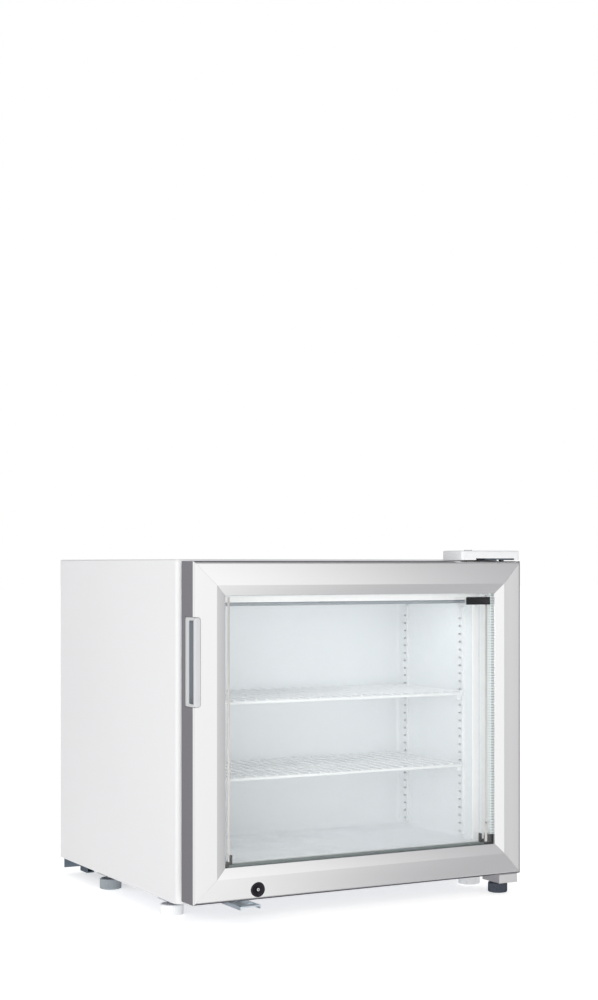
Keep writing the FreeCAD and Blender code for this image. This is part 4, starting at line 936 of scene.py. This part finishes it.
world = bpy.data.worlds.new("studio")
bpy.context.scene.world = world
world.use_nodes = True
wn, wl = world.node_tree.nodes, world.node_tree.links
wn.clear()
out = wn.new("ShaderNodeOutputWorld")
bg = wn.new("ShaderNodeBackground")
tc = wn.new("ShaderNodeTexCoord")
sep = wn.new("ShaderNodeSeparateXYZ")
wl.new(tc.outputs["Generated"], sep.inputs["Vector"])
neg = wn.new("ShaderNodeMath")
neg.operation = "MULTIPLY"
neg.inputs[1].default_value = -1.0
wl.new(sep.outputs["Y"], neg.inputs[0])
at = wn.new("ShaderNodeMath")
at.operation = "ARCTAN2"
wl.new(sep.outputs["X"], at.inputs[0])
wl.new(neg.outputs["Value"], at.inputs[1])
mr = wn.new("ShaderNodeMapRange")
mr.inputs["From Min"].default_value = -math.pi
mr.inputs["From Max"].default_value = math.pi
wl.new(at.outputs["Value"], mr.inputs["Value"])
ramp = wn.new("ShaderNodeValToRGB")
ramp.color_ramp.interpolation = "LINEAR"
wl.new(mr.outputs["Result"], ramp.inputs["Fac"])
STOPS = [(-180, 0.24), (-140, 0.24), (-124, 0.85), (-95, 1.06), (-62, 0.88), (-30, 1.02), (-8, 1.08), (12, 0.98), (19, 1.08), (26, 1.20), (31, 0.91), (36, 0.30), (43, 0.56), (50, 0.82), (58, 0.74), (65, 0.30), (76, 0.12), (180, 0.20)]
els = ramp.color_ramp.elements
els[0].position, els[1].position = 0.0, 1.0
for a, lum in STOPS[1:-1]:
    els.new((a + 180) / 360.0)
for e, (a, lum) in zip(sorted(els, key=lambda q: q.position), STOPS):
    e.position = (a + 180) / 360.0
    e.color = (lum - 0.002 * (1 - lum), lum - 0.010 * (1 - lum), lum + 0.018 * (1 - lum), 1)
up = wn.new("ShaderNodeMapRange")
up.inputs["From Min"].default_value = -1.0
up.inputs["From Max"].default_value = 1.0
wl.new(sep.outputs["Z"], up.inputs["Value"])
high = wn.new("ShaderNodeValToRGB")
wl.new(up.outputs["Result"], high.inputs["Fac"])
HIGH = [(-1, 0.35), (-0.8, 0.55), (-0.64, 1.02), (-0.54, 1.04), (-0.42, 0.93), (-0.17, 0.92), (-0.02, 1.0), (0.36, 1.0), (0.58, 0.62), (0.75, 0.74), (1, 0.76)]
hel = high.color_ramp.elements
for z, lum in HIGH[1:-1]:
    hel.new((z + 1) / 2.0)
for e, (z, lum) in zip(sorted(hel, key=lambda q: q.position), HIGH):
    e.position = (z + 1) / 2.0
    e.color = (lum, lum, lum, 1)
sky = wn.new("ShaderNodeMix")
sky.data_type = "RGBA"
sky.blend_type = "MULTIPLY"
sky.inputs["Factor"].default_value = 1.0
wl.new(ramp.outputs["Color"], sky.inputs["A"])
wl.new(high.outputs["Color"], sky.inputs["B"])
lp = wn.new("ShaderNodeLightPath")
soft = wn.new("ShaderNodeMix")
soft.data_type = "RGBA"
soft.inputs["A"].default_value = (0.62, 0.62, 0.63, 1)
wl.new(lp.outputs["Is Glossy Ray"], soft.inputs["Factor"])
wl.new(sky.outputs["Result"], soft.inputs["B"])
mixc = wn.new("ShaderNodeMix")
mixc.data_type = "RGBA"
mixc.inputs["B"].default_value = (1, 1, 1, 1)
wl.new(lp.outputs["Is Camera Ray"], mixc.inputs["Factor"])
wl.new(soft.outputs["Result"], mixc.inputs["A"])
wl.new(mixc.outputs["Result"], bg.inputs["Color"])
bg.inputs["Strength"].default_value = 1.0
wl.new(bg.outputs["Background"], out.inputs["Surface"])


def area(name, loc, target, size, power, colour=(1, 1, 1), glossy=True):
    d = bpy.data.lights.new(name, "AREA")
    d.shape = "RECTANGLE"
    d.size, d.size_y = size
    d.energy = power
    d.color = colour
    o = bpy.data.objects.new(name, d)
    bpy.context.scene.collection.objects.link(o)
    o.location = loc
    o.rotation_euler = (Vector(target) - Vector(loc)).to_track_quat("-Z", "Y").to_euler()
    o.visible_glossy = glossy
    o.visible_camera = False
    return o


area("key_front", (-2.6, -2.9, 1.0), (0, 0, 0.28), (2.4, 1.8), 55, (1, 1, 1), False)
area("lamp_inside", (0, -0.178, 0.455), (0, 0.0, 0.16), (0.40, 0.03), 0.08, (0.93, 0.97, 1.0), False)

cam = bpy.data.cameras.new("camera")
cam_ob = bpy.data.objects.new("camera", cam)
bpy.context.scene.collection.objects.link(cam_ob)
cam_ob.location = (-1.34531, (-2281.92 - D0) / 1000.0, 0.52483)
cam_ob.rotation_euler = (math.radians(90), 0, -math.radians(28.348))
cam.sensor_width = 36.0
cam.sensor_fit = "AUTO"
cam.lens = 36.0 * 1.75455
cam.shift_y = 0.06353
cam.clip_end = 100
bpy.context.scene.camera = cam_ob
bpy.context.scene.view_settings.view_transform = "Standard"
bpy.context.scene.view_settings.look = "None"
